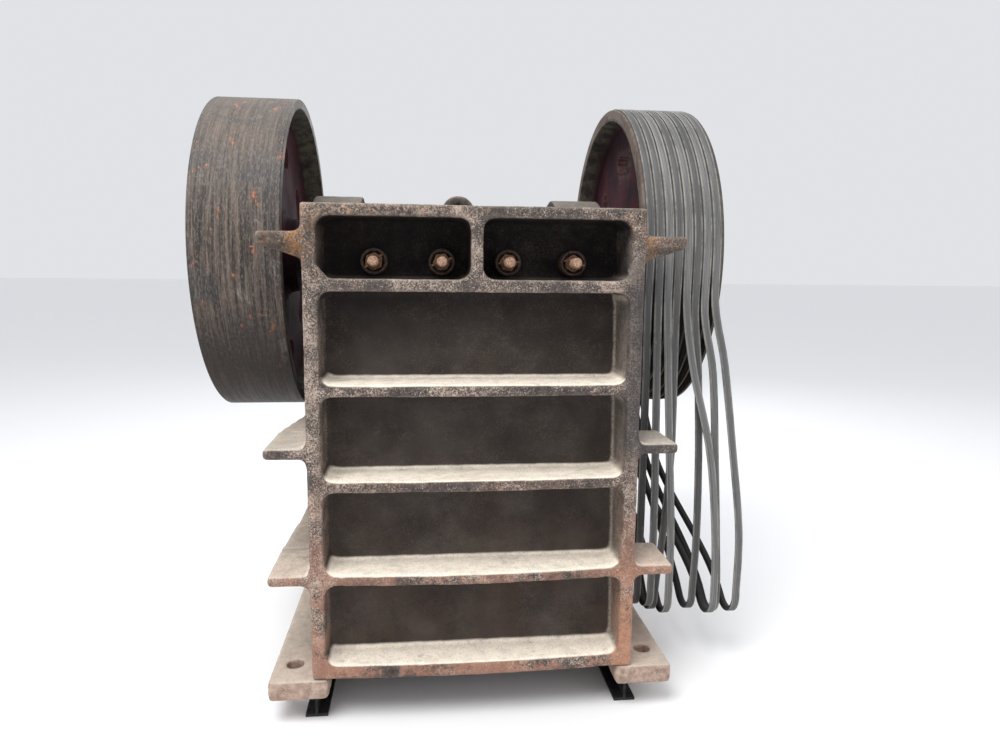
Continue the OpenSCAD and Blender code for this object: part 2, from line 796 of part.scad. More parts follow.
module tension_spring() {
    turns = 5;
    pitch = spring_l / turns;
    wire_r = 0.36 * pitch;
    core_r = spring_r - wire_r;
    back_y = back_wall_y + back_wall_t;
    color(rust_orange) placed() translate([0, back_y, rod_z]) rotate([-90, 0, 0]) difference() {
        union() {
            cylinder(h = spring_l, r = core_r);
            for (i = [0 : turns - 1]) {
                translate([0, 0, (i + 0.5) * pitch])
                    rotate_extrude() translate([core_r, 0]) circle(wire_r, $fn = 24);
            }
        }
        translate([0, 0, -over]) cylinder(h = spring_l + 2 * over, r = rod_r + 4);
    }
}

module rod_nut() {
    y0 = back_wall_y + back_wall_t + spring_l;
    color(rust_orange) placed() difference() {
        union() {
            rod_y(y0, y0 + 12, 0, rod_z, spring_r + 6);
            translate([0, y0 + 11, rod_z]) rotate([-90, 0, 0]) cylinder(h = 34, r = 1.9 * rod_r, $fn = 6);
        }
        rod_y(y0 - over, y0 + 60, 0, rod_z, rod_r + fit);
    }
}

// The four corners of a belt's section, at an angle round a bend of radius r about a centre
function belt_ring(x, centre, r, angle) = [
    for (corner = [
        [r, belt_w / 2], [r, -belt_w / 2], [r - belt_t, -belt_inner_w / 2], [r - belt_t, belt_inner_w / 2]
    ])
        [x + corner[1], centre[0] + corner[0] * cos(angle), centre[1] + corner[0] * sin(angle)]
];

// Eases a share between 0 and 1
function eased(share) = share * share * (3 - 2 * share);

// Slope of a smooth curve through points at one of them
function slope(xs, ys, k) =
    k == 0 || k == len(xs) - 1 ? 0 : (ys[k + 1] - ys[k - 1]) / (xs[k + 1] - xs[k - 1]);

// Height of a smooth curve through points
function smooth_curve(xs, ys, x) = let (
    k = max([for (j = [0 : len(xs) - 2]) if (j == 0 || xs[j] < x) j]),
    w = xs[k + 1] - xs[k],
    t = (x - xs[k]) / w
) ys[k] + eased(t) * (ys[k + 1] - ys[k])
    + w * t * (1 - t) * ((1 - t) * slope(xs, ys, k) - t * slope(xs, ys, k + 1));

// A belt that hangs from the pulley in one closed loop: two bends and two runs that drift sideways
module belt(i) {
    x = belt_x0 + i * belt_pitch;
    route = belt_routes[i];
    drift = route[2][len(drift_shares) - 1];
    bend = [belt_bend_y + belt_spread * route[0], belt_bend_z - route[1]];
    big_r = wheel_r + belt_proud;
    hub = [shaft_y, shaft_z];
    reach = norm(hub - bend);
    to_shaft = atan2(hub[1] - bend[1], hub[0] - bend[0]);
    open = acos((big_r - belt_bend_r) / reach);
    // Angles at which the front and the back run leave both bends
    near = to_shaft + 180 - open;
    far = to_shaft - 180 + open;
    function run_ring(share, shift, angle) =
        belt_ring(x + shift, hub + (bend - hub) * share, big_r + (belt_bend_r - big_r) * share, angle);
    rings = concat(
        [for (k = [0 : belt_steps]) belt_ring(x, hub, big_r, far + (near - far) * k / belt_steps)],
        [for (k = [1 : belt_run_steps - 1]) let (share = k / belt_run_steps)
            run_ring(share, smooth_curve(drift_shares, route[2], share), near)],
        [for (k = [0 : belt_bend_steps])
            belt_ring(x + drift, bend, belt_bend_r, near + (360 - near + far) * k / belt_bend_steps)],
        [for (k = [1 : belt_run_steps - 1]) let (share = 1 - k / belt_run_steps)
            run_ring(share, drift * eased(max(0, (share - rear_drift_start) / (1 - rear_drift_start))), far)]
    );
    n = len(rings);
    color(belt_grey) placed() polyhedron(
        points = [for (ring = rings) each ring],
        faces = [for (k = [0 : n - 1]) for (c = [0 : 3])
            [4 * k + c, 4 * ((k + 1) % n) + c, 4 * ((k + 1) % n) + (c + 1) % 4, 4 * k + (c + 1) % 4]]
    );
}

module shaft() {
    color(steel_dark) placed() {
        rod_x(-shaft_len / 2, shaft_len / 2, shaft_y, shaft_z, shaft_r);
        rod_x(-housing_out - bearing_shift - 6, housing_out - bearing_shift + 6, shaft_y, shaft_z, journal_r);
        rod_x(-head_half - 3, head_half + 3, shaft_y, eccentric_z, eccentric_r);
    }
}

// A wheel with its inner face at x = 0 and its outer face at x = w
module wheel(w, rim_t) {
    difference() {
        union() {
            difference() {
                rod_x(0, w, 0, 0, wheel_r);
                rod_x(-over, web_recess, 0, 0, wheel_r - rim_t);
                rod_x(web_recess + web_t, w + over, 0, 0, wheel_r - rim_t);
            }
            rod_x(web_recess - hub_stand, w, 0, 0, hub_r);
        }
        rod_x(-over, w + over, 0, 0, shaft_r + running_gap);
        for (a = [0 : 360 / window_n : 359]) {
            rotate([a, 0, 0]) {
                s = (window_l - window_w) / 2;
                block([web_recess - over, -s, window_at - window_w / 2],
                    [web_recess + web_t + over, s, window_at + window_w / 2]);
                for (y = [-s, s]) {
                    rod_x(web_recess - over, web_recess + web_t + over, y, window_at, window_w / 2);
                }
            }
        }
    }
}

module flywheel() {
    color(rim_brown) placed() mirror([1, 0, 0])
        translate([flywheel_x, shaft_y, shaft_z]) wheel(flywheel_w, flywheel_rim_t);
}

module belt_pulley() {
    // Half widths of a groove at the rim and at its floor, clear of the belt
    slope = (belt_w - belt_inner_w) / 2 / belt_t;
    top_half = belt_w / 2 - slope * belt_proud + belt_gap;
    floor_half = top_half - slope * groove_depth;
    color(pulley_grey) placed() difference() {
        translate([pulley_x, shaft_y, shaft_z]) wheel(pulley_w, pulley_rim_t);
        for (i = [0 : belt_n - 1]) {
            translate([belt_x0 + i * belt_pitch, shaft_y, shaft_z]) rotate([0, 90, 0]) rotate_extrude()
                polygon([
                    [wheel_r - groove_depth, -floor_half], [wheel_r + over, -top_half - slope * over],
                    [wheel_r + over, top_half + slope * over], [wheel_r - groove_depth, floor_half]
                ]);
        }
    }
}

// A locking disc on the outer end of a hub
module lock_disc(x) {
    difference() {
        rod_x(x, x + lock_disc_t, shaft_y, shaft_z, lock_disc_r);
        rod_x(x - over, x + lock_disc_t + over, shaft_y, shaft_z, shaft_r + running_gap);
    }
}

module lock_disc_left() {
    color(steel_dark) placed() mirror([1, 0, 0]) lock_disc(flywheel_x + flywheel_w);
}

module lock_disc_right() {
    color(steel_dark) placed() lock_disc(pulley_x + pulley_w);
}

// The swing jaw: head, back plate, ribs and the block for the toggle
module swing_jaw() {
    body_half = jaw_half - 5;
    z_top = swing_z0 + swing_plate_l * cos(jaw_lean) + 90;
    foot_y = seat_y(swing_z0);
    back_y = toggle_front_y + 6;
    gap_r = toggle_end_r + toggle_room;
    gap_z = toggle_front_z - throw;
    color(cast_dark) placed() difference() {
        union() {
            rod_x(-head_half, head_half, shaft_y, eccentric_z, head_r);
            across(-body_half, body_half, [
                [foot_y, swing_z0], [foot_y + back_plate_t, swing_z0],
                [seat_y(z_top) + back_plate_t, z_top], [seat_y(z_top), z_top]
            ]);
            across(-body_half, body_half, [
                [foot_y + 20, swing_z0], [back_y - 40, swing_z0], [back_y, swing_z0 + 50],
                [back_y, toggle_front_z + 70], [seat_y(toggle_front_z + 190) + 30, toggle_front_z + 190]
            ]);
            for (i = [0 : back_rib_n - 1]) {
                x = -body_half + back_rib_t / 2 + i * (2 * body_half - back_rib_t) / (back_rib_n - 1);
                across(x - back_rib_t / 2, x + back_rib_t / 2, [
                    [seat_y(toggle_front_z) + 30, toggle_front_z], [back_y - 20, toggle_front_z],
                    [shaft_y + head_r - 60, eccentric_z - 60], [seat_y(eccentric_z) + 30, eccentric_z - 30]
                ]);
            }
            translate([-bearing_shift, shaft_y + eye_t / 2, 0]) rotate([90, 0, 0]) linear_extrude(eye_t) {
                translate([-eye_r, eccentric_z + head_r / 2]) square([2 * eye_r, head_r / 2 + eye_rise]);
                translate([0, eccentric_z + head_r + eye_rise]) circle(eye_r);
            }
        }
        rod_x(-head_half - over, head_half + over, shaft_y, eccentric_z, eccentric_r + running_gap);
        // The seat of the jaw plate cuts the front of the head away
        across(-side_in, side_in, [
            [seat_y(swing_z0) - 200, swing_z0], [seat_y(swing_z0), swing_z0],
            [seat_y(z_top), z_top], [seat_y(z_top) - 200, z_top]
        ]);
        // Open pivot round the front end of the toggle
        rod_x(-side_in, side_in, toggle_front_y, gap_z, gap_r);
        block([-side_in, toggle_front_y, gap_z - gap_r], [side_in, back_y + over, gap_z + gap_r]);
        rod_y(shaft_y - eye_t, shaft_y + eye_t, -bearing_shift, eccentric_z + head_r + eye_rise + eye_hole_up,
            eye_hole_r);
    }
}

module swing_jaw_plate() {
    body = 2 * jaw_half;
    color(manganese) placed()
        translate([0, swing_seat_y0, swing_z0]) rotate([-jaw_lean, 0, 0])
            translate([0, -fit, swing_plate_foot])
                mirror([0, 1, 0]) linear_extrude(swing_plate_l) toothed(body, tooth_n - 1);
}

// The bar that holds the upper end of the swing jaw plate
module swing_clamp_bar() {
    color(cast_dark) placed()
        translate([0, swing_seat_y0, swing_z0]) rotate([-jaw_lean, 0, 0])
            block([-jaw_half, -swing_bar_t, swing_plate_foot + swing_plate_l + fit],
                [jaw_half, -fit, swing_plate_foot + swing_plate_l + swing_bar_h]);
}

front_wall();
side_wall_left();
side_wall_right();
back_wall();
foot_left();
foot_right();
beam_left();
beam_right();
bearing_base_left();
bearing_base_right();
bearing_cap_left();
bearing_cap_right();
fixed_jaw();
jaw_clamp_bar();
cheek_plate_left();
cheek_plate_right();
clamp_bolt(0);  // clamp_bolt_1
clamp_bolt(1);  // clamp_bolt_2
clamp_bolt(2);  // clamp_bolt_3
clamp_bolt(3);  // clamp_bolt_4
clamp_cups();
clamp_nuts();
toggle_plate();
toggle_seat();
adjusting_wedge();
tension_rod();
tension_spring();
rod_nut();
belt(0);  // belt_1
belt(1);  // belt_2
belt(2);  // belt_3
belt(3);  // belt_4
belt(4);  // belt_5
belt(5);  // belt_6
belt(6);  // belt_7
belt(7);  // belt_8
shaft();
flywheel();
belt_pulley();
lock_disc_left();
lock_disc_right();
swing_jaw();
swing_jaw_plate();
swing_clamp_bar();
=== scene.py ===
"""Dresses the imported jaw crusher: castings, wheels, belts, bolts, finishes, camera and studio."""

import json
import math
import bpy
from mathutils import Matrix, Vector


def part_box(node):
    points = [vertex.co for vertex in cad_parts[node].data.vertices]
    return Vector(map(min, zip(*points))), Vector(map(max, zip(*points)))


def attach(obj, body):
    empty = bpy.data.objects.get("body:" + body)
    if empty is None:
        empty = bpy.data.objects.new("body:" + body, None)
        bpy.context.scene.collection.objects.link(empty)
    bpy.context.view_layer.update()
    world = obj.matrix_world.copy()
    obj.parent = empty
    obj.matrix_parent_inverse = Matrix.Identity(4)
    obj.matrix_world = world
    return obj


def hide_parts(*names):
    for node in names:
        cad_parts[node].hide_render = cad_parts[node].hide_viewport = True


bl_info = {
    "name": "Jaw Crusher Dressing",
    "version": (1, 0, 0),
    "blender": (4, 5, 0),
    "location": "3D View > Sidebar > Crusher",
    "description": "Builds the visible pieces and finishes of a jaw crusher round its packed frame",
    "category": "Object",
}

import bmesh
import bpy
from bpy.props import FloatProperty, FloatVectorProperty, IntProperty, PointerProperty
from mathutils import Matrix, Vector, noise

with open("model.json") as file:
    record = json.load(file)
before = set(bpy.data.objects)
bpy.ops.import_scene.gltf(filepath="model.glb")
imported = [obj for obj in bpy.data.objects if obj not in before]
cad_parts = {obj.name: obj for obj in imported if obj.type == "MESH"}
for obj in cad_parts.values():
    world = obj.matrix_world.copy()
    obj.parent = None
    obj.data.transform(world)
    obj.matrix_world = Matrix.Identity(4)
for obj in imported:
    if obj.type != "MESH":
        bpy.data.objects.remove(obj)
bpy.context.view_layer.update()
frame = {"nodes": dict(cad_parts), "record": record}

# Sizes read from the frame, in metres
SPIN = next(j for j in frame["record"]["behaviour"]["joints"] if j["name"] == "shaft_spin")
SHAFT_Y = SPIN["pos_m"][1]
SHAFT_Z = SPIN["pos_m"][2]
WALL_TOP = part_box("front_wall")[1][2]
FLYWHEEL_LOW, FLYWHEEL_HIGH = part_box("flywheel")
PULLEY_LOW, PULLEY_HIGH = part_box("belt_pulley")
WHEEL_R = (FLYWHEEL_HIGH[2] - FLYWHEEL_LOW[2]) / 2
FRONT_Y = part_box("foot_left")[0][1]

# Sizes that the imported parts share, in metres
WALL_HALF = 0.577
FLANGE_WIDTH = 0.05
POCKET_HALF = WALL_HALF - FLANGE_WIDTH
GROOVE_PITCH = 0.037
GROOVE_HALF = 0.0149
SHAFT_BORE_R = 0.0705
LOCK_DISC_R = 0.118
BOLT_R = 0.018
NUT_HALF = 0.0275
CUP_R = 0.046
CUP_BORE_R = 0.0186

# Corners closer than this are joined, in metres
WELD = 0.00002

BELTS = [f"belt_{number}" for number in range(1, 9)]

# The middle of a belt's outer face on its strip map: two elevenths of the way round the section
OUTER_MIDDLE = 2 / 11

# Shader groups and finishes by name, filled by the finishes operator
GROUPS = {}
FINISHES = {}


# Property groups


def metres(name, description, default):
    """A length property."""
    return FloatProperty(name=name, description=description, default=default, unit="LENGTH")


def tint(name, description, default):
    """A colour property."""
    return FloatVectorProperty(name=name, description=description, default=default, subtype="COLOR")


class CrusherSizes(bpy.types.PropertyGroup):
    """Sizes of the dressed pieces"""

    casting_grain: metres("Casting grain", "Mesh size of the front castings", 0.0094)
    rear_grain: metres("Rear grain", "Mesh size of the castings behind", 0.012)
    casting_waves: metres("Casting waves", "Depth of the uneven sand-cast skin", 0.003)
    wheel_steps: IntProperty(name="Wheel steps", description="Steps round each wheel", default=192)
    groove_depth: metres("Groove depth", "Depth of a belt groove", 0.027)
    belt_width: metres("Belt width", "Width of a belt", 0.032)
    belt_thickness: metres("Belt thickness", "Thickness of a belt", 0.019)
    thread_pitch: metres("Thread pitch", "Pitch of the clamp bolts", 0.004)


class CrusherColours(bpy.types.PropertyGroup):
    """Main colours of the finishes"""

    cast_light: tint("Light casting", "Beige-brown skin of the castings", (0.37, 0.29, 0.235))
    cast_dark: tint("Dark casting", "Charcoal skin of the castings", (0.062, 0.053, 0.049))
    rust: tint("Rust", "Orange rust", (0.36, 0.15, 0.045))
    red_rust: tint("Red rust", "Pinkish-red low rust", (0.43, 0.215, 0.145))
    dust: tint("Dust", "Pale stone dust", (0.96, 0.855, 0.715))
    rubber: tint("Rubber", "Grey belt rubber", (0.045, 0.046, 0.047))


class StageSizes(bpy.types.PropertyGroup):
    """Camera and studio"""

    lens: FloatProperty(name="Lens", description="Focal length in millimetres", default=26.155)
    floor: metres("Floor", "Half width of the floor", 120.0)


# Mesh helpers


def linked(name, data):
    """Put a new object with this data in the scene."""
    item = bpy.data.objects.new(name, data)
    bpy.context.scene.collection.objects.link(item)
    return item


def mesh_object(name, bm):
    """Turn a bmesh into a mesh object in the scene."""
    mesh = bpy.data.meshes.new(name)
    bm.to_mesh(mesh)
    bm.free()
    return linked(name, mesh)


def shade(mesh, sharp_angle):
    """Shade a mesh smooth, except at edges that turn more than an angle in degrees."""
    mesh.shade_smooth()
    mesh.set_sharp_from_angle(angle=math.radians(sharp_angle))


def finish_piece(name, bm, body, replaced, finish, sharp_angle):
    """Turn a bmesh into an object that rides on a body and stands for CAD nodes."""
    piece = mesh_object(name, bm)
    piece.data.materials.append(FINISHES[finish])
    shade(piece.data, sharp_angle)
    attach(piece, body)
    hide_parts(*replaced)
    return piece


def merged_copy(node):
    """A bmesh copy of a CAD node with its loose triangles joined."""
    bm = bmesh.new()
    bm.from_mesh(frame["nodes"][node].data)
    bmesh.ops.remove_doubles(bm, verts=bm.verts, dist=WELD)
    return bm


def remesh(bm, voxel):
    """Skin a closed bmesh, overlapping parts and all, with small even faces."""
    holder = mesh_object("skin", bm)
    mesh = holder.data
    skin = holder.modifiers.new("Skin", "REMESH")
    skin.mode = "VOXEL"
    skin.voxel_size = voxel
    skin.adaptivity = 0.0
    graph = bpy.context.evaluated_depsgraph_get()
    result = bmesh.new()
    result.from_mesh(holder.evaluated_get(graph).to_mesh())
    bpy.data.objects.remove(holder)
    bpy.data.meshes.remove(mesh)
    return result


def weather(bm, depth, fine, coarse, seed):
    """Press an uneven sand-cast skin inwards, never outwards."""
    bm.normal_update()
    shift = Vector((seed, 2 * seed, -seed))
    for vert in bm.verts:
        place = vert.co + shift
        small = noise.fractal(place * fine, 0.8, 2.1, 3)
        large = noise.noise(place * coarse)
        pits = max(0.0, noise.noise(place * fine * 2.3) - 0.35)
        push = 0.35 + 0.3 * small + 0.35 * large + 1.1 * pits
        vert.co -= vert.normal * depth * max(0.0, min(1.4, push))


def cast_skin(bm, grain, rounds, depth, fine, coarse, seed):
    """Give a closed bmesh an even skin, smooth it a few rounds and press it in like a sand casting."""
    bm = remesh(bm, grain)
    for _ in range(rounds):
        bmesh.ops.smooth_vert(
            bm, verts=bm.verts, factor=0.5, use_axis_x=True, use_axis_y=True, use_axis_z=True
        )
    weather(bm, depth, fine, coarse, seed)
    return bm


def rounded(bm, edges, width, segments=2):
    """Round edges over a width."""
    bmesh.ops.bevel(
        bm, geom=edges, offset=width, segments=segments, profile=0.5, affect="EDGES", material=-1
    )


def block(bm, low, high):
    """Add a box between two corners."""
    centre = (Vector(low) + Vector(high)) / 2
    size = Vector(high) - Vector(low)
    matrix = Matrix.Translation(centre) @ Matrix.Diagonal((*size, 1.0))
    return bmesh.ops.create_cube(bm, size=1.0, matrix=matrix)["verts"]


def prism(bm, outline, start, step):
    """Add a closed prism from a flat outline drawn at start, drawn out by step."""
    verts = [bm.verts.new(Vector(start) + Vector(point)) for point in outline]
    face = bm.faces.new(verts)
    drawn = bmesh.ops.extrude_face_region(bm, geom=[face])
    moved = [g for g in drawn["geom"] if isinstance(g, bmesh.types.BMVert)]
    bmesh.ops.translate(bm, verts=moved, vec=step)
    faces = {f for v in verts + moved for f in v.link_faces}
    bmesh.ops.recalc_face_normals(bm, faces=list(faces))
    return verts + moved


def turned(bm, profile, centre, axis, steps, closed=True):
    """Spin a profile of (along, radius) points about an axis through centre."""
    axis = Vector(axis)
    side = axis.orthogonal().normalized()
    centre = Vector(centre)
    verts = [bm.verts.new(centre + axis * along + side * radius) for along, radius in profile]
    pairs = list(zip(verts, verts[1:]))
    if closed:
        pairs.append((verts[-1], verts[0]))
    edges = [bm.edges.new(pair) for pair in pairs]
    bmesh.ops.spin(
        bm, geom=verts + edges, cent=centre, axis=axis, angle=math.tau, steps=steps, use_merge=True
    )
    bmesh.ops.remove_doubles(bm, verts=bm.verts, dist=WELD)
    bmesh.ops.recalc_face_normals(bm, faces=bm.faces)


def disc(profile, start, way, steps):
    """Turn a profile about the shaft, measured from start to the left (-1) or to the right (1)."""
    bm = bmesh.new()
    points = [(start + way * along, radius) for along, radius in profile]
    turned(bm, points, (0.0, SHAFT_Y, SHAFT_Z), (1.0, 0.0, 0.0), steps)
    return bm


def append(bm, fresh):
    """Add one bmesh to another."""
    mesh = bpy.data.meshes.new("part")
    fresh.to_mesh(mesh)
    fresh.free()
    bm.from_mesh(mesh)
    bpy.data.meshes.remove(mesh)


def cut(piece, cutter_bm):
    """Cut closed shapes out of a piece and keep the result in its mesh."""
    cutter = mesh_object("cutter", cutter_bm)
    tool = piece.modifiers.new("Windows", "BOOLEAN")
    tool.operation = "DIFFERENCE"
    tool.solver = "EXACT"
    tool.object = cutter
    graph = bpy.context.evaluated_depsgraph_get()
    result = bpy.data.meshes.new_from_object(piece.evaluated_get(graph))
    spare = [piece.data, cutter.data]
    piece.modifiers.clear()
    piece.data = result
    bpy.data.objects.remove(cutter)
    for mesh in spare:
        bpy.data.meshes.remove(mesh)


# Shader helpers


def opaque(colour):
    """A colour with full alpha where it has three parts; a node's output stays as it is."""
    if isinstance(colour, bpy.types.NodeSocket) or len(colour) == 4:
        return colour
    return (*colour, 1.0)


class Board:
    """A node tree with short ways to add and join its nodes."""

    def __init__(self, tree):
        self.tree = tree

    def add(self, kind, **values):
        """Add a node and set some of its own values."""
        node = self.tree.nodes.new(kind)
        for key, value in values.items():
            setattr(node, key, value)
        return node

    def put(self, socket, value):
        """Link an output to a socket, or set the socket's value; None leaves it as it is."""
        if isinstance(value, bpy.types.NodeSocket):
            self.tree.links.new(value, socket)
        elif value is not None:
            socket.default_value = value

    def filled(self, kind, inputs, **values):
        """Add a node, fill its inputs by name or number and give its outputs."""
        node = self.add(kind, **values)
        for key, value in inputs.items():
            self.put(node.inputs[key], value)
        return node.outputs

    def noise(self, place, scale, detail=4.0, rough=0.55, twist=0.0):
        inputs = {"Vector": place, "Scale": scale, "Detail": detail, "Roughness": rough, "Distortion": twist}
        return self.filled("ShaderNodeTexNoise", inputs)["Fac"]

    def cells(self, place, scale):
        """Distance from the middle of the nearest cell."""
        return self.filled("ShaderNodeTexVoronoi", {"Vector": place, "Scale": scale})["Distance"]

    def spread(self, value, low, high, to_low=0.0, to_high=1.0):
        """Bring a range of values smoothly to another range."""
        inputs = {"Value": value, "From Min": low, "From Max": high, "To Min": to_low, "To Max": to_high}
        return self.filled("ShaderNodeMapRange", inputs, interpolation_type="SMOOTHSTEP")["Result"]

    def calc(self, operation, first, second=None, clamp=False):
        inputs = {0: first, 1: second}
        return self.filled("ShaderNodeMath", inputs, operation=operation, use_clamp=clamp)["Value"]

    def times(self, *values):
        """Product of masks, kept between 0 and 1."""
        result = values[0]
        for value in values[1:]:
            result = self.calc("MULTIPLY", result, value, True)
        return result

    def weighted(self, *pairs):
        """Sum of values, each times its weight."""
        total = None
        for value, weight in pairs:
            share = self.calc("MULTIPLY", value, weight)
            total = share if total is None else self.calc("ADD", total, share)
        return total

    def mix(self, factor, first, second):
        inputs = {"Factor": factor, "A": opaque(first), "B": opaque(second)}
        return self.filled("ShaderNodeMix", inputs, data_type="RGBA")["Result"]

    def paint(self, under, over, *masks):
        """Lay one colour over another where all the masks are high."""
        return self.mix(self.times(*masks), under, over)

    def place(self):
        return self.add("ShaderNodeTexCoord").outputs["Object"]

    def facing(self):
        """The way the surface faces, in object coordinates."""
        return self.add("ShaderNodeTexCoord").outputs["Normal"]

    def parts(self, vector):
        return tuple(self.filled("ShaderNodeSeparateXYZ", {"Vector": vector}))

    def stretch(self, vector, scale, offset=(0.0, 0.0, 0.0)):
        inputs = {"Vector": vector, "Scale": scale, "Location": offset}
        return self.filled("ShaderNodeMapping", inputs)["Vector"]

    def bump(self, height, strength, distance):
        inputs = {"Height": height, "Strength": strength, "Distance": distance}
        return self.filled("ShaderNodeBump", inputs)["Normal"]

    def group(self, name, **inputs):
        """The outputs of a shared group."""
        return self.filled("ShaderNodeGroup", inputs, node_tree=GROUPS[name])

    def rust(self, place, amount, scale):
        """Mask of ragged rust patches."""
        return self.group("rust", Place=place, Amount=amount, Scale=scale)["Mask"]

    def dust(self, place, amount):
        """Mask of settled dust."""
        return self.group("dust", Place=place, Facing=self.facing(), Amount=amount)["Mask"]

    def edges(self, place, low, high):
        """Mask of rubbed edges."""
        return self.group("edge", Place=place, Low=low, High=high)["Mask"]

    def streaks(self, place, fine, around):
        """Level of the marks that run round the shaft."""
        return self.group("streak", Place=place, Fine=fine, Round=around)["Level"]


def new_group(name, inputs, outputs):
    """A shader group with named inputs and outputs; returns the tree, its board and its two ends."""
    tree = bpy.data.node_groups.new(name, "ShaderNodeTree")
    for label, kind, *start in inputs:
        socket = tree.interface.new_socket(name=label, in_out="INPUT", socket_type="NodeSocket" + kind)
        if start:
            socket.default_value = start[0]
    for label, kind in outputs:
        tree.interface.new_socket(name=label, in_out="OUTPUT", socket_type="NodeSocket" + kind)
    board = Board(tree)
    return tree, board, board.add("NodeGroupInput").outputs, board.add("NodeGroupOutput").inputs


def cast_skin_group():
    """Speckled colour and pitted height of a weathered casting."""
    tree, b, start, end = new_group(
        "Cast skin",
        [("Place", "Vector"), ("Dark", "Color"), ("Light", "Color"), ("Balance", "Float", 0.5)],
        [("Colour", "Color"), ("Height", "Float")],
    )
    place = start["Place"]
    speck = b.noise(place, 165.0, 5.0, 0.8)
    blotch = b.noise(place, 14.0, 4.0, 0.6, 0.4)
    patch = b.noise(place, 2.6, 3.0, 0.55)
    level = b.weighted((speck, 0.74), (blotch, 0.28), (patch, 0.3))
    low = b.calc("ADD", b.calc("MULTIPLY", start["Balance"], -0.34), 0.77)
    mask = b.spread(level, low, b.calc("ADD", low, 0.11))
    colour = b.mix(mask, start["Dark"], start["Light"])
    tone = b.spread(b.noise(place, 38.0, 3.0, 0.7), 0.3, 0.72, 0.64, 1.36)
    shaded = b.filled("ShaderNodeVectorMath", {0: colour, "Scale": tone}, operation="SCALE")["Vector"]
    b.put(end["Colour"], shaded)
    grit = b.noise(place, 210.0, 3.0, 0.8)
    pits = b.spread(b.cells(place, 62.0), 0.0, 0.42)
    lumps = b.noise(place, 30.0, 3.0, 0.6)
    b.put(end["Height"], b.weighted((grit, 0.45), (pits, 0.35), (lumps, 0.9)))
    return tree


def rust_group():
    """Ragged rust patches: a mask that grows with the amount."""
    tree, b, start, end = new_group(
        "Rust patches",
        [("Place", "Vector"), ("Amount", "Float", 0.4), ("Scale", "Float", 7.0)],
        [("Mask", "Float")],
    )
    broad = b.noise(start["Place"], start["Scale"], 6.0, 0.68, 0.6)
    fine = b.noise(start["Place"], b.calc("MULTIPLY", start["Scale"], 11.0), 3.0, 0.7)
    level = b.weighted((broad, 0.72), (fine, 0.28))
    low = b.calc("SUBTRACT", 0.74, b.calc("MULTIPLY", start["Amount"], 0.42))
    b.put(end["Mask"], b.spread(level, low, b.calc("ADD", low, 0.1)))
    return tree


def dust_group():
    """Dust that lies on faces that look up."""
    tree, b, start, end = new_group(
        "Settled dust",
        [("Place", "Vector"), ("Facing", "Vector"), ("Amount", "Float", 1.0)],
        [("Mask", "Float")],
    )
    level = b.spread(b.parts(start["Facing"])[2], 0.45, 0.85)
    worn = b.spread(b.noise(start["Place"], 13.0, 5.0, 0.6), 0.26, 0.42, 0.6, 1.0)
    b.put(end["Mask"], b.times(level, worn, start["Amount"]))
    return tree


def edge_group():
    """Rubbed edges: a mask from how sharply the surface turns."""
    tree, b, start, end = new_group(
        "Rubbed edges",
        [("Place", "Vector"), ("Low", "Float", 0.52), ("High", "Float", 0.6)],
        [("Mask", "Float")],
    )
    sharp = b.add("ShaderNodeNewGeometry").outputs["Pointiness"]
    grain = b.calc("SUBTRACT", b.noise(start["Place"], 55.0), 0.5)
    ragged = b.calc("ADD", sharp, b.calc("MULTIPLY", grain, 0.05))
    b.put(end["Mask"], b.spread(ragged, start["Low"], start["High"]))
    return tree


def from_shaft(b, place):
    """Distance along the shaft, and the two distances across it."""
    x, y, z = b.parts(place)
    return x, b.calc("SUBTRACT", y, SHAFT_Y), b.calc("SUBTRACT", z, SHAFT_Z)


def streak_group():
    """Marks that run round the shaft and change faster along it than round the wheel."""
    tree, b, start, end = new_group(
        "Round streaks",
        [("Place", "Vector"), ("Fine", "Float", 260.0), ("Round", "Float", 5.0)],
        [("Level", "Float")],
    )
    scales = (start["Fine"], start["Round"], start["Round"])
    stretched = [b.calc("MULTIPLY", *pair) for pair in zip(from_shaft(b, start["Place"]), scales)]
    joined = b.filled("ShaderNodeCombineXYZ", dict(enumerate(stretched)))["Vector"]
    b.put(end["Level"], b.noise(joined, 1.0, 4.0, 0.6))
    return tree


def new_material(name, roughness, metallic=0.0):
    """A material with a board, its object coordinates and its shader."""
    material = bpy.data.materials.new(name)
    material.use_nodes = True
    tree = material.node_tree
    shader = tree.nodes["Principled BSDF"]
    shader.inputs["Roughness"].default_value = roughness
    shader.inputs["Metallic"].default_value = metallic
    shader.inputs["Specular IOR Level"].default_value = 0.22
    board = Board(tree)
    return material, board, board.place(), shader


def coat(b, shader, colour, normal, roughness=None):
    """Join colour, normal and, where it varies, roughness to a material's shader."""
    b.put(shader.inputs["Base Color"], colour)
    b.put(shader.inputs["Roughness"], roughness)
    b.put(shader.inputs["Normal"], normal)


# Each casting's material name, whether it is the front wall, and its shares of pale skin, dust, orange
# rust and low red rust
CASTINGS = {
    "front": ("Front casting", True, 0.37, 1.0, 0.4, 0.58),
    "foot": ("Foot casting", False, 0.8, 0.62, 0.2, 0.2),
    "casting": ("Frame casting", False, 0.46, 0.55, 0.35, 0.42),
    "bearing": ("Bearing casting", False, 0.12, 0.2, 0.2, 0.58),
    "dark": ("Dark casting", False, 0.15, 0.9, 0.2, 0.58),
}

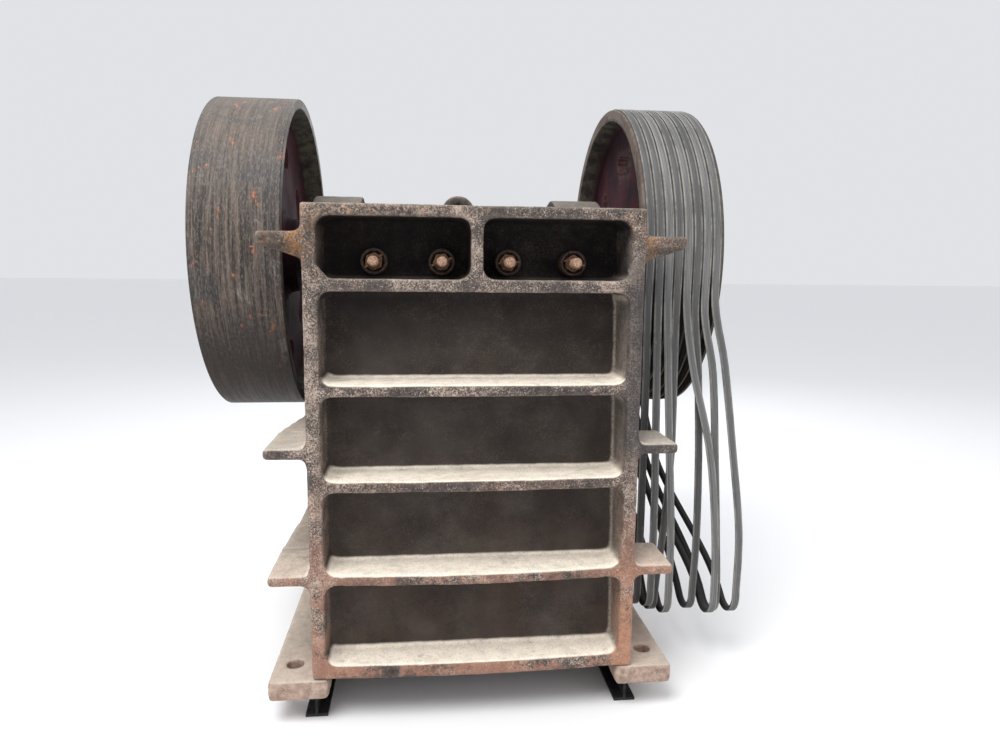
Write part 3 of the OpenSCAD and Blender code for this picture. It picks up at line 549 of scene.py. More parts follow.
# Each smoother metal's material name, dark and light colour, roughness, metallic, rust and grain
METALS = {
    "rusty": ("Rusty bolt steel", (0.06, 0.032, 0.02), (0.2, 0.105, 0.055), 0.7, 0.0, 0.4, 160.0),
    "bolt_end": ("Pale bolt end", (0.2, 0.115, 0.075), (0.46, 0.29, 0.2), 0.65, 0.0, 0.2, 200.0),
    "cup": ("Dark cup iron", (0.022, 0.016, 0.014), (0.075, 0.048, 0.036), 0.7, 0.0, 0.2, 120.0),
    "steel": ("Greasy steel", (0.05, 0.045, 0.04), (0.17, 0.15, 0.135), 0.45, 0.7, 0.25, 50.0),
    # The beams' near-black colour is their paint and painted shade for the shadow under the feet
    "beam": ("Beam paint and painted shade", (0.012, 0.012, 0.014), (0.034, 0.032, 0.033), 0.6, 0.0, 0.22, 30.0),
}


def casting_material(colours, name, front, balance, dust, rust, red_share):
    """Weathered cast steel, redder towards the ground and more orange towards the top."""
    material, b, place, shader = new_material(name, 0.85)
    dark = opaque(colours.cast_dark)
    skin = b.group("skin", Place=place, Dark=dark, Light=opaque(colours.cast_light), Balance=balance)
    x, _, z = b.parts(place)
    colour = skin["Colour"]
    colour = b.paint(colour, colours.red_rust, b.spread(z, 1.05, 0.25), b.rust(place, 0.75, 4.0), red_share)
    high = b.spread(z, 1.3, 1.8, 0.35, 1.0)
    tone = 0.74
    if front:
        high = b.times(high, b.spread(x, 0.5, 0.3, 0.2, 1.0))
        tone = 1.0
    colour = b.paint(colour, colours.rust, high, b.rust(place, rust, 6.5), 0.7)
    # Rubbed edges are paler
    colour = b.paint(colour, (0.42, 0.33, 0.27), b.edges(place, 0.515, 0.6), 0.55)
    if front:
        colour = front_stains(b, place, colour)
        colour = front_pockets_painted_light(b, place, colour)
        # Little dust settles high up and on the lugs
        beside = b.spread(b.calc("ABSOLUTE", x), WALL_HALF, WALL_HALF + 0.02, 1.0, 0.5)
        dust = b.times(b.spread(z, 1.56, 1.5, 0.08, dust), beside)
    fall = b.dust(place, dust)
    clean_dust = tuple(c * tone for c in colours.dust)
    grey_dust = tuple(c * tone * 0.8 for c in colours.dust)
    pale = b.mix(b.spread(b.noise(place, 22.0, 5.0, 0.7), 0.3, 0.6), grey_dust, clean_dust)
    gritty = b.spread(b.noise(place, 170.0, 4.0, 0.75), 0.36, 0.52, 0.72, 1.0)
    colour = b.paint(colour, pale, fall, gritty)
    smooth = b.calc("SUBTRACT", 1.0, b.calc("MULTIPLY", fall, 0.6))
    normal = b.bump(b.calc("MULTIPLY", skin["Height"], smooth), 0.75, 0.0035)
    coat(b, shader, colour, normal, b.spread(b.noise(place, 24.0), 0.3, 0.7, 0.72, 0.94))
    return material


def front_stains(b, place, colour):
    """Rust and stains on the front wall's lugs, corners, top bar and right flange."""
    x, _, z = b.parts(place)
    aside = b.calc("ABSOLUTE", x)
    # Orange rust on the top lugs and in the top left corner
    side = b.spread(aside, WALL_HALF - 0.02, WALL_HALF + 0.02)
    corner = b.spread(x, -0.25, -0.58, 0.0, 0.6)
    rusty = b.times(b.calc("MAXIMUM", b.times(side, 0.6), corner), b.spread(z, 1.5, 1.72))
    bloom = b.spread(b.noise(place, 90.0, 6.0, 0.75, 0.4), 0.46, 0.64)
    colour = b.paint(colour, (0.36, 0.185, 0.085), rusty, bloom, 0.7)
    # Paler rust along the left of the top bar
    crest = b.spread(z, WALL_TOP - 0.06, WALL_TOP - 0.03)
    colour = b.paint(colour, (0.47, 0.35, 0.265), crest, b.spread(x, 0.2, -0.3), bloom, 0.6)
    # More orange at the foot of the right flange
    toe = b.times(b.spread(x, 0.46, 0.53), b.spread(z, 0.66, 0.4))
    flakes = b.spread(b.noise(place, 50.0, 6.0, 0.8), 0.4, 0.62)
    colour = b.paint(colour, (0.47, 0.235, 0.135), toe, flakes, 0.75)
    # Deep orange where the top lugs leave the flanges
    root = b.spread(b.calc("ABSOLUTE", b.calc("SUBTRACT", aside, WALL_HALF + 0.02)), 0.04, 0.0)
    stain = b.spread(b.noise(place, 60.0, 6.0, 0.8, 0.5), 0.4, 0.64)
    colour = b.paint(colour, (0.42, 0.19, 0.055), root, stain, b.spread(z, 1.6, 1.66), 0.8)
    # Dark stains high up on the right
    stained = b.times(b.spread(x, 0.48, 0.54), b.spread(z, 0.75, 1.05), b.spread(z, 1.8, 1.6))
    return b.paint(colour, (0.055, 0.05, 0.05), stained, 0.66)


def front_pockets_painted_light(b, place, colour):
    """Pockets darker and smoother than the ribs through painted shade, darkest in the top pockets, with a
    painted highlight on their right side walls.
    """
    x, y, z = b.parts(place)
    inside = b.times(
        b.spread(y, FRONT_Y + 0.012, FRONT_Y + 0.05),
        b.spread(b.calc("ABSOLUTE", x), POCKET_HALF + 0.005, POCKET_HALF - 0.005),
        b.spread(z, WALL_TOP - 0.012, WALL_TOP - 0.024),
    )
    # Painted shade: the pockets are painted dark brown, near black in the top pockets, for the shade under
    # the ribs
    cloud = b.spread(b.noise(place, 6.0, 5.0, 0.6), 0.35, 0.7)
    brown = b.mix(cloud, (0.034, 0.027, 0.023), (0.068, 0.057, 0.05))
    painted_pocket_shade = b.mix(b.spread(z, 1.25, 1.65), brown, (0.009, 0.006, 0.0065))
    colour = b.paint(colour, painted_pocket_shade, inside, 0.92)
    # Painted highlight: pale grit on the right side walls of the pockets, which face the light, stands for
    # sunlight on them
    aside = b.spread(b.parts(b.facing())[0], -0.35, -0.8)
    painted_wall_highlight = b.times(aside, b.spread(x, 0.4, 0.46), b.spread(z, 1.62, 1.54), inside)
    grit = b.spread(b.noise(place, 120.0, 4.0, 0.75), 0.34, 0.6, 0.25, 0.8)
    return b.paint(colour, (0.5, 0.43, 0.36), painted_wall_highlight, grit)


def rim_material():
    """The flywheel: a dark brown-grey turned rim with streaks, scuffs and paint specks, and a maroon web."""
    material, b, place, shader = new_material("Flywheel iron", 0.55)
    streak = b.streaks(place, 240.0, 5.0)
    broad = b.streaks(place, 70.0, 3.4)
    patch = b.noise(place, 5.0, 5.0, 0.62, 0.5)
    base = b.mix(b.spread(broad, 0.36, 0.64), (0.022, 0.018, 0.016), (0.135, 0.1, 0.078))
    base = b.mix(b.spread(patch, 0.44, 0.62, 0.0, 0.8), base, (0.03, 0.029, 0.031))
    grains = b.noise(b.stretch(place, (190.0, 60.0, 60.0)), 1.0, 5.0, 0.8)
    base = b.mix(b.spread(grains, 0.5, 0.62, 0.0, 0.55), base, (0.19, 0.165, 0.145))
    base = b.mix(b.spread(grains, 0.48, 0.38, 0.0, 0.5), base, (0.016, 0.014, 0.013))
    base = b.paint(base, (0.2, 0.17, 0.15), b.spread(streak, 0.54, 0.7), 0.5)
    base = b.paint(base, (0.03, 0.027, 0.026), b.spread(streak, 0.46, 0.3), 0.5)
    scratched = b.stretch(place, (1.0, 1.0, 1.0), (3.0, 1.0, 2.0))
    scuff = b.spread(b.noise(scratched, 4.2, 6.0, 0.72, 0.8), 0.57, 0.68)
    base = b.paint(base, (0.36, 0.345, 0.33), scuff, b.spread(streak, 0.35, 0.6), 0.8)
    spot = b.spread(b.noise(b.stretch(place, (22.0, 9.0, 9.0)), 1.0, 5.0, 0.75, 0.4), 0.615, 0.66)
    base = b.paint(base, (0.46, 0.14, 0.05), spot, 0.85)
    # Painted light: the top of the rim is painted paler as a painted highlight, and its underside is painted
    # darker as painted shade
    level = b.parts(place)[2]
    base = b.mix(b.spread(level, SHAFT_Z + 0.2, FLYWHEEL_HIGH[2], 0.0, 0.35), base, (0.25, 0.22, 0.195))
    base = b.mix(b.spread(level, SHAFT_Z - 0.1, SHAFT_Z - 0.5, 0.0, 0.94), base, (0.018, 0.012, 0.009))
    base, inner = wheel_inside(b, place, base)
    base = b.paint(base, (0.2, 0.17, 0.15), b.edges(place, 0.54, 0.64), 0.2)
    roughness = b.calc("ADD", b.spread(streak, 0.3, 0.7, 0.42, 0.66), b.calc("MULTIPLY", inner, 0.3))
    grit = b.calc("ADD", b.calc("MULTIPLY", streak, 0.6), b.noise(place, 150.0, 3.0, 0.7))
    coat(b, shader, base, b.bump(grit, 0.35, 0.0012), roughness)
    return material


def wheel_inside(b, place, base):
    """Scaly rust inside the rim and worn maroon paint on web, hub and windows; also the bore's mask."""
    _, y, z = from_shaft(b, place)
    radius = b.calc("SQRT", b.calc("ADD", b.calc("MULTIPLY", y, y), b.calc("MULTIPLY", z, z)))
    bore = b.spread(radius, WHEEL_R - 0.034, WHEEL_R - 0.038)
    flaking = b.spread(b.noise(place, 16.0, 6.0, 0.7, 0.4), 0.36, 0.66)
    scale = b.mix(flaking, (0.026, 0.022, 0.019), (0.11, 0.094, 0.07))
    web = b.spread(radius, WHEEL_R - 0.052, WHEEL_R - 0.062)
    faded = b.spread(b.noise(place, 7.0, 5.0, 0.6), 0.3, 0.7)
    paint = b.mix(faded, (0.02, 0.009, 0.014), (0.062, 0.016, 0.021))
    paint = b.paint(paint, (0.075, 0.056, 0.042), b.rust(place, 0.3, 9.0), 0.8)
    return b.mix(web, b.mix(bore, base, scale), paint), bore


def pulley_material():
    """The belt pulley: dusty grooves, a reddish-brown edge face and a maroon web."""
    material, b, place, shader = new_material("Pulley iron", 0.7)
    streak = b.streaks(place, 180.0, 4.0)
    base = b.mix(b.spread(streak, 0.35, 0.65), (0.02, 0.018, 0.016), (0.065, 0.056, 0.048))
    blotch = b.noise(place, 11.0, 6.0, 0.66, 0.5)
    face = b.mix(b.spread(blotch, 0.4, 0.6), (0.05, 0.026, 0.022), (0.13, 0.098, 0.078))
    near = b.spread(b.parts(place)[0], PULLEY_LOW[0] + 0.012, PULLEY_LOW[0] + 0.006)
    base, inner = wheel_inside(b, place, b.mix(near, base, face))
    base = b.paint(base, (0.36, 0.3, 0.25), b.edges(place, 0.53, 0.62), 0.45)
    normal = b.bump(b.noise(place, 120.0, 4.0, 0.75), 0.4, 0.0015)
    coat(b, shader, base, normal, b.spread(inner, 0.0, 1.0, 0.7, 0.9))
    return material


def belt_material(colours):
    """Grey rubber with pale rubbed edges and fine streaks that follow the belt."""
    material, b, place, shader = new_material("Belt rubber", 0.6)
    strip = b.add("ShaderNodeUVMap", uv_map="Along").outputs["UV"]
    wear = b.add("ShaderNodeAttribute", attribute_name="Wear").outputs["Fac"]
    streak = b.noise(b.stretch(strip, (150.0, 2.2, 1.0)), 1.0, 5.0, 0.65)
    broad = b.noise(b.stretch(strip, (16.0, 3.0, 1.0)), 1.0, 3.0, 0.6)
    pale = b.mix(wear, (0.11, 0.109, 0.107), (0.27, 0.265, 0.255))
    base = b.mix(b.spread(streak, 0.34, 0.66), colours.rubber, pale)
    base = b.mix(b.spread(broad, 0.56, 0.68, 0.0, 0.6), base, (0.05, 0.05, 0.052))
    # The corners of the outer face are rubbed pale, and the sides are dark
    corner = b.calc("ABSOLUTE", b.calc("SUBTRACT", b.parts(strip)[0], OUTER_MIDDLE))
    rub = b.times(b.spread(corner, 0.05, 0.085), b.spread(corner, 0.24, 0.19))
    patchy = b.spread(b.noise(place, 10.0, 5.0, 0.7), 0.38, 0.58, 0.12, 0.8)
    base = b.paint(base, (0.44, 0.42, 0.38), rub, patchy, 0.5)
    base = b.paint(base, (0.014, 0.014, 0.014), b.spread(corner, 0.26, 0.3), 0.85)
    scuff = b.noise(b.stretch(place, (60.0, 14.0, 8.0)), 1.0, 6.0, 0.8, 0.4)
    base = b.paint(base, (0.6, 0.58, 0.54), b.spread(scuff, 0.66, 0.71), 0.7)
    stain = b.noise(b.stretch(place, (26.0, 9.0, 9.0)), 1.0, 3.0, 0.6)
    base = b.paint(base, (0.3, 0.05, 0.035), b.spread(stain, 0.75, 0.78), 0.75)
    coat(b, shader, base, b.bump(streak, 0.3, 0.0008), b.spread(streak, 0.3, 0.7, 0.5, 0.78))
    return material


def plain_metal(name, dark, light, roughness, metallic, rust, grain):
    """A smoother metal with speckle and rust, for the smaller pieces."""
    material, b, place, shader = new_material(name, roughness, metallic)
    speck = b.noise(place, grain, 5.0, 0.7)
    base = b.mix(b.spread(speck, 0.36, 0.64), dark, light)
    base = b.paint(base, (0.26, 0.11, 0.04), b.rust(place, rust, 12.0), 0.7)
    normal = b.bump(b.noise(place, grain * 2.2, 4.0, 0.7), 0.4, 0.0012)
    cloud = b.noise(place, 40.0)
    coat(b, shader, base, normal, b.spread(cloud, 0.3, 0.7, roughness - 0.12, roughness + 0.14))
    return material


def toothed_material(colours):
    """Worn manganese plates: bright on the teeth, dusty between them."""
    material, b, place, shader = new_material("Jaw plate steel", 0.5, 0.35)
    rub = b.noise(b.stretch(place, (60.0, 60.0, 7.0)), 1.0, 4.0, 0.6)
    base = b.mix(b.spread(rub, 0.35, 0.65), (0.09, 0.08, 0.072), (0.27, 0.25, 0.235))
    base = b.paint(base, (0.25, 0.13, 0.065), b.rust(place, 0.45, 8.0), 0.65)
    base = b.paint(base, colours.dust, b.dust(place, 0.9))
    coat(b, shader, base, b.bump(b.noise(place, 90.0, 4.0, 0.7), 0.5, 0.002))
    return material


def dress_nodes(names, finish):
    """Give CAD nodes that stay as they are a finish."""
    for name in names:
        node = frame["nodes"][name]
        if not node.data.materials:
            node.data.materials.append(FINISHES[finish])
        for slot in node.material_slots:
            slot.material = FINISHES[finish]


# Operators


class CRUSHER_OT_finishes(bpy.types.Operator):
    """Build the shared shader groups and the finishes"""

    bl_idname = "crusher.finishes"
    bl_label = "Finishes"

    def execute(self, context):
        colours = context.scene.crusher_colours
        GROUPS.update(skin=cast_skin_group(), rust=rust_group(), dust=dust_group())
        GROUPS.update(edge=edge_group(), streak=streak_group())
        for key, values in CASTINGS.items():
            FINISHES[key] = casting_material(colours, *values)
        for key, values in METALS.items():
            FINISHES[key] = plain_metal(*values)
        FINISHES["rim"] = rim_material()
        FINISHES["pulley"] = pulley_material()
        FINISHES["belt"] = belt_material(colours)
        FINISHES["teeth"] = toothed_material(colours)
        return {"FINISHED"}


class CRUSHER_OT_front_wall(bpy.types.Operator):
    """Cast front wall with ribs, pockets and lugs"""

    bl_idname = "crusher.front_wall"
    bl_label = "Front wall"

    def execute(self, context):
        sizes = context.scene.crusher_sizes
        bm = merged_copy("front_wall")
        add_root_fillets(bm)
        add_flaws(bm)
        bm = cast_skin(bm, sizes.casting_grain, 3, sizes.casting_waves, 34.0, 7.0, 1.7)
        finish_piece("front_casting", bm, "frame", ["front_wall"], "front", 60.0)
        return {"FINISHED"}


# Flash in the top pockets: the side it starts from, its lower and upper height, and its reach
FLAWS = (
    (-1, 1.59, 1.605, 0.030),
    (-1, 1.603, 1.617, 0.018),
    (1, 1.611, 1.622, 0.016),
    (1, 1.62, 1.634, 0.009),
)

# Lug corners that get a fillet: height, way up or down, depth along the lug, and reach
ROOTS = (
    (1.733, 1, 0.19, 0.0144),
    (1.014, 1, 0.26, 0.02),
    (0.972, -1, 0.26, 0.03125),
    (0.562, 1, 0.26, 0.016),
    (0.515, -1, 0.26, 0.025),
)


def add_flaws(bm):
    """Ragged flash that the mould left on the outer sides of the two top pockets."""
    for side, low, high, reach in FLAWS:
        root = side * 0.01
        tip = -side * reach
        outline = [(root, 0, low), (tip, 0, low + 0.003), (tip * 0.6, 0, high), (root, 0, high)]
        prism(bm, outline, (side * POCKET_HALF, FRONT_Y + 0.006, 0), (0, 0.02, 0))


def add_root_fillets(bm):
    """Small wedges in the corners between the lugs and the flanges, which the skin then rounds."""
    for side in (-1, 1):
        for level, way, depth, reach in ROOTS:
            out = side * reach
            up = way * reach
            outline = [(0, 0, 0), (out, 0, 0), (out * 0.3, 0, up * 0.3), (0, 0, up)]
            start = (side * (WALL_HALF - 0.002), FRONT_Y + 0.004, level - way * 0.003)
            prism(bm, outline, start, (0, depth, 0))


def round_tips(bm, reach, width):
    """Round the outer edges that run from front to back, beyond a distance from the centre plane."""
    tips = []
    for edge in bm.edges:
        first, second = (vert.co for vert in edge.verts)
        aside = abs(first.x - second.x) + abs(first.z - second.z)
        along = abs(first.y - second.y) > 0.1 and aside < 0.001
        if along and abs(first.x) > reach and edge.calc_face_angle(0.0) > 0.5:
            tips.append(edge)
    rounded(bm, tips, width, 3)


class CRUSHER_OT_frame(bpy.types.Operator):
    """Side walls, back wall, feet, bearings and beams"""

    bl_idname = "crusher.frame"
    bl_label = "Frame castings"

    def execute(self, context):
        sizes = context.scene.crusher_sizes
        fine = sizes.casting_grain
        plain = sizes.rear_grain
        seed = 3.1
        for nodes, grain, finish, slot_name in (
            (("foot_left", "foot_right"), fine, "foot", "frame_casting"),
            (("side_wall_left", "side_wall_right", "back_wall"), plain, "casting", "frame_casting"),
            (("bearing_base_left", "bearing_base_right"), plain, "bearing", "bearing_casting"),
            (("bearing_cap_left", "bearing_cap_right"), fine, "bearing", "bearing_casting"),
        ):
            for node in nodes:
                bm = merged_copy(node)
                if finish == "foot":
                    round_tips(bm, 0.5, 0.012)
                bm = cast_skin(bm, grain, 2, sizes.casting_waves * 0.8, 30.0, 6.0, seed)
                finish_piece(node + "_cast", bm, "frame", [node], finish, 60.0)
                seed += 1
        dress_nodes(["beam_left", "beam_right"], "beam")
        return {"FINISHED"}


# Half section of a locking disc, from its inner face outwards
LOCK_DISC = (
    (0.0, SHAFT_BORE_R), (0.0, LOCK_DISC_R), (0.026, LOCK_DISC_R), (0.03, LOCK_DISC_R - 0.004),
    (0.03, SHAFT_BORE_R),
)


class CRUSHER_OT_wheels(bpy.types.Operator):
    """Flywheel and grooved belt pulley"""

    bl_idname = "crusher.wheels"
    bl_label = "Wheels"

    def execute(self, context):
        sizes = context.scene.crusher_sizes
        for name, node, low, high, rim, way, slot_name, finish in (
            ("flywheel_iron", "flywheel", FLYWHEEL_LOW, FLYWHEEL_HIGH, 0.042, -1, "wheel_rim", "rim"),
            ("pulley_iron", "belt_pulley", PULLEY_LOW, PULLEY_HIGH, 0.048, 1, "pulley_iron", "pulley"),
        ):
            width = high[0] - low[0]
            grooves = groove_points(width, sizes) if node == "belt_pulley" else []
            inner = high[0] if way < 0 else low[0]
            bm = disc(wheel_profile(width, WHEEL_R - rim, grooves), inner, way, sizes.wheel_steps)
            piece = finish_piece(name, bm, "rotor", [node], finish, 30.0)
            cut(piece, window_cutters(inner + way * 0.05, way * 0.14))
            shade(piece.data, 30.0)
        for way, node in ((-1, "lock_disc_left"), (1, "lock_disc_right")):
            low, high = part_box(node)
            bm = disc(LOCK_DISC, high[0] if way < 0 else low[0], way, 96)
            finish_piece(node + "_plate", bm, "rotor", [node], "steel", 30.0)
        dress_nodes(["shaft"], "steel")
        return {"FINISHED"}


def wheel_profile(width, inside, grooves):
    """Half section of a wheel, from its inner face outwards: rim, hollow outer side, hub and inner side."""
    edge = 0.003
    rim = [(0.0, WHEEL_R - edge), (edge, WHEEL_R), *grooves, (width - edge, WHEEL_R), (width, WHEEL_R - edge)]
    outer_side = [
        (width, inside + edge), (width - 0.004, inside), (0.165, inside - 0.012), (0.147, inside - 0.018),
        (0.14, inside - 0.038), (0.14, 0.2), (0.146, 0.178), (0.165, 0.162), (width - 0.004, 0.155),
        (width, 0.151),
    ]
    hub_and_inner_side = [
        (width, 0.07), (0.033, 0.07), (0.033, 0.151), (0.037, 0.155), (0.075, 0.162), (0.09, 0.178),
        (0.095, 0.2), (0.095, inside - 0.038), (0.088, inside - 0.018), (0.07, inside - 0.01),
        (0.004, inside), (0.0, inside + edge),
    ]
    return rim + outer_side + hub_and_inner_side


def groove_middle(number):
    """How far a belt's groove lies from the middle of the rim."""
    return (number - (len(BELTS) - 1) / 2) * GROOVE_PITCH


def groove_points(width, sizes):
    """Outline of the eight belt grooves across the pulley's rim."""
    points = []
    lip = 0.001
    half_floor = GROOVE_HALF - 0.3684 * sizes.groove_depth
    for number in range(len(BELTS)):
        middle = width / 2 + groove_middle(number)
        points += [
            (middle - GROOVE_HALF - lip, WHEEL_R),
            (middle - GROOVE_HALF + lip, WHEEL_R - 0.002),
            (middle - half_floor, WHEEL_R - sizes.groove_depth),
            (middle + half_floor, WHEEL_R - sizes.groove_depth),
            (middle + GROOVE_HALF - lip, WHEEL_R - 0.002),
            (middle + GROOVE_HALF + lip, WHEEL_R),
        ]
    return points


# The windows in the webs: how far out they lie, half their straight length and the radius of their ends
WINDOW_OUT = 0.43
WINDOW_HALF = 0.07
WINDOW_R = 0.05


def window_cutters(start, depth):
    """Six long windows with round ends, as one bmesh to cut out of a web."""
    bm = bmesh.new()
    outline = []
    for end in (1, -1):
        for step in range(17):
            angle = math.pi * step / 16
            along = end * (WINDOW_HALF + WINDOW_R * math.sin(angle))
            outline.append((0.0, along, end * WINDOW_R * math.cos(angle)))
    for number in range(6):
        verts = prism(bm, outline, (start, 0.0, WINDOW_OUT), (depth, 0.0, 0.0))
        turn = Matrix.Rotation(math.tau * number / 6, 4, "X")
        bmesh.ops.transform(bm, matrix=Matrix.Translation((0.0, SHAFT_Y, SHAFT_Z)) @ turn, verts=verts)
    bmesh.ops.recalc_face_normals(bm, faces=bm.faces)
    return bm


class CRUSHER_OT_belts(bpy.types.Operator):
    """Eight belts that hang from the pulley"""

    bl_idname = "crusher.belts"
    bl_label = "Belts"

    def execute(self, context):
        sizes = context.scene.crusher_sizes
        for number, node in enumerate(BELTS):
            bm = belt_loop(number, sizes)
            finish_piece(node + "_rubber", bm, "frame", [node], "belt", 40.0)
        return {"FINISHED"}


# Shares of the way down at which the drift of a belt's front run is given, and where its back run
# starts to drift
DRIFT_SHARES = (0.1, 0.3, 0.55, 0.8, 1.0)
REAR_DRIFT_START = 0.45

# Steps of a belt round the pulley, along each run and round its lower bend
ROUND_STEPS = 96
RUN_STEPS = 30
BEND_STEPS = 20

# How each belt hangs: 1 if its bend is a rear one, its drop below the highest bend, its drift to the
# right at each of the shares, and how pale it is worn
BELT_ROUTES = (
    (1, 0.020, (0.0, 0.006, 0.012, 0.017, 0.018), 0.2),
    (0, 0.000, (0.0, 0.004, 0.012, 0.018, 0.016), 0.3),
    (0, 0.032, (0.0, 0.012, 0.032, 0.052, 0.053), 0.9),
    (1, 0.046, (0.0, 0.006, 0.014, 0.000, -0.020), 0.2),
    (0, 0.040, (0.0, 0.036, 0.122, 0.162, 0.170), 0.8),
    (1, 0.048, (0.0, 0.029, 0.054, 0.068, 0.066), 0.1),
    (1, 0.066, (0.0, 0.052, 0.086, 0.116, 0.134), 0.8),
    (0, 0.036, (0.0, 0.053, 0.105, 0.150, 0.152), 0.5),
)

# The foremost and highest bend of the belts, how far the rear bends lie behind it, and their radius
BEND_Y = FRONT_Y + 0.335
BEND_Z = 0.336
BEND_SPREAD = 0.065
BEND_R = 0.085

# How far a belt's outer face stands above the rim
BELT_STAND = 0.0038


def eased(part):
    """Ease a share between 0 and 1."""
    return part * part * (3 - 2 * part)


def front_drift(drifts, share):
    """How far a belt's front run has drifted at a share of the way down, on a smooth curve."""
    if share <= DRIFT_SHARES[0]:
        return 0.0
    last = len(drifts) - 1
    k = max(j for j in range(last) if DRIFT_SHARES[j] < share)

    def slope(at):
        if at in (0, last):
            return 0.0
        return (drifts[at + 1] - drifts[at - 1]) / (DRIFT_SHARES[at + 1] - DRIFT_SHARES[at - 1])

    width = DRIFT_SHARES[k + 1] - DRIFT_SHARES[k]
    part = (share - DRIFT_SHARES[k]) / width
    swing = width * part * (1 - part) * ((1 - part) * slope(k) - part * slope(k + 1))
    return drifts[k] + eased(part) * (drifts[k + 1] - drifts[k]) + swing


def belt_stations(rear, bend_drop, drifts):
    """Steps round the pulley, down, round the bend and back up: centre, radius, angle and drift."""
    big = WHEEL_R + BELT_STAND
    hub = Vector((SHAFT_Y, SHAFT_Z))
    bend = Vector((BEND_Y + BEND_SPREAD * rear, BEND_Z - bend_drop))
    span = hub - bend
    to_shaft = math.atan2(span.y, span.x)
    opening = math.acos((big - BEND_R) / span.length)
    near = to_shaft + math.pi - opening
    far = to_shaft - math.pi + opening

    def on_run(share, angle, drift):
        return hub.lerp(bend, share), big + (BEND_R - big) * share, angle, drift

    stations = [(hub, big, far + (near - far) * k / ROUND_STEPS, 0.0) for k in range(ROUND_STEPS + 1)]
    for k in range(1, RUN_STEPS):
        stations.append(on_run(k / RUN_STEPS, near, front_drift(drifts, k / RUN_STEPS)))
    for k in range(BEND_STEPS + 1):
        stations.append((bend, BEND_R, near + (math.tau - near + far) * k / BEND_STEPS, drifts[-1]))
    for k in range(1, RUN_STEPS):
        share = 1 - k / RUN_STEPS
        late = max(0.0, (share - REAR_DRIFT_START) / (1 - REAR_DRIFT_START))
        stations.append(on_run(share, far + math.tau, drifts[-1] * eased(late)))
    return stations


def belt_section(sizes):
    """Outline of a belt as (out, across) points, from one corner of the outer face round to it again."""
    half = sizes.belt_width / 2 - 0.0001
    thick = sizes.belt_thickness
    inner = 0.009
    corner = 0.0022
    return [
        (-corner * 0.3, half - corner * 0.4), (0.0, half - corner), (0.0, 0.0), (0.0, -half + corner),
        (-corner * 0.3, -half + corner * 0.4), (-corner, -half), (-thick + corner, -inner - 0.0008),
        (-thick, -inner + corner), (-thick, inner - corner), (-thick + corner, inner + 0.0008),
        (-corner, half),
    ]


def belt_loop(number, sizes):
    """One belt: its section carried round its stations, with its strip map and wear."""
    groove_x = (PULLEY_LOW[0] + PULLEY_HIGH[0]) / 2 + groove_middle(number)
    rear, bend_drop, drifts, wear = BELT_ROUTES[number]
    section = belt_section(sizes)
    bm = bmesh.new()
    bm.verts.layers.float.new("Wear")
    ring = [bm.verts.new((0.0, 0.0, 0.0)) for _ in section]
    edges = [bm.edges.new((a, b)) for a, b in zip(ring, ring[1:] + ring[:1])]
    rings = []
    for centre, radius, angle, drift in belt_stations(rear, bend_drop, drifts):
        if rings:
            made = bmesh.ops.extrude_edge_only(bm, edges=edges)["geom"]
            edges = [g for g in made if isinstance(g, bmesh.types.BMEdge)]
            ring = follow_ring(edges, ring)
        outward = Vector((0.0, math.cos(angle), math.sin(angle)))
        middle = Vector((groove_x + drift, centre.x, centre.y)) + outward * radius
        for vert, (out, across) in zip(ring, section):
            vert.co = middle + outward * out + Vector((across, 0.0, 0.0))
        rings.append(ring)
    first = [bm.edges.get((a, b)) for a, b in zip(rings[0], rings[0][1:] + rings[0][:1])]
    bmesh.ops.bridge_loops(bm, edges=first + edges)
    mark_strip(bm, rings, wear)
    bmesh.ops.recalc_face_normals(bm, faces=bm.faces)
    return bm


def follow_ring(edges, ring):
    """The new ring's corners in the order of the old ring's."""
    partner = {}
    fresh = {v for e in edges for v in e.verts}
    for vert in fresh:
        for edge in vert.link_edges:
            other = edge.other_vert(vert)
            if other in ring and other not in fresh:
                partner[other] = vert
    return [partner[v] for v in ring]


def mark_strip(bm, rings, wear):
    """Write a strip map, U round the section and V along the belt in metres, and how worn the belt is."""
    layer = bm.loops.layers.uv.new("Along")
    worn = bm.verts.layers.float["Wear"]
    for vert in bm.verts:
        vert[worn] = wear
    place = {}
    count = len(rings[0])
    length = 0.0
    for index, ring in enumerate(rings):
        if index:
            length += (ring[2].co - rings[index - 1][2].co).length
        for corner, vert in enumerate(ring):
            place[vert] = (corner / count, length)
    whole = length + (rings[0][2].co - rings[-1][2].co).length
    for face in bm.faces:
        marks = [place[loop.vert] for loop in face.loops]
        wrap = max(m[0] for m in marks) - min(m[0] for m in marks) > 0.5
        close = max(m[1] for m in marks) - min(m[1] for m in marks) > 0.5 * whole
        for loop, (u, v) in zip(face.loops, marks):
            if wrap and u < 0.5:
                u += 1.0
            if close and v < 0.5 * whole:
                v += whole
            loop[layer].uv = (u, v)


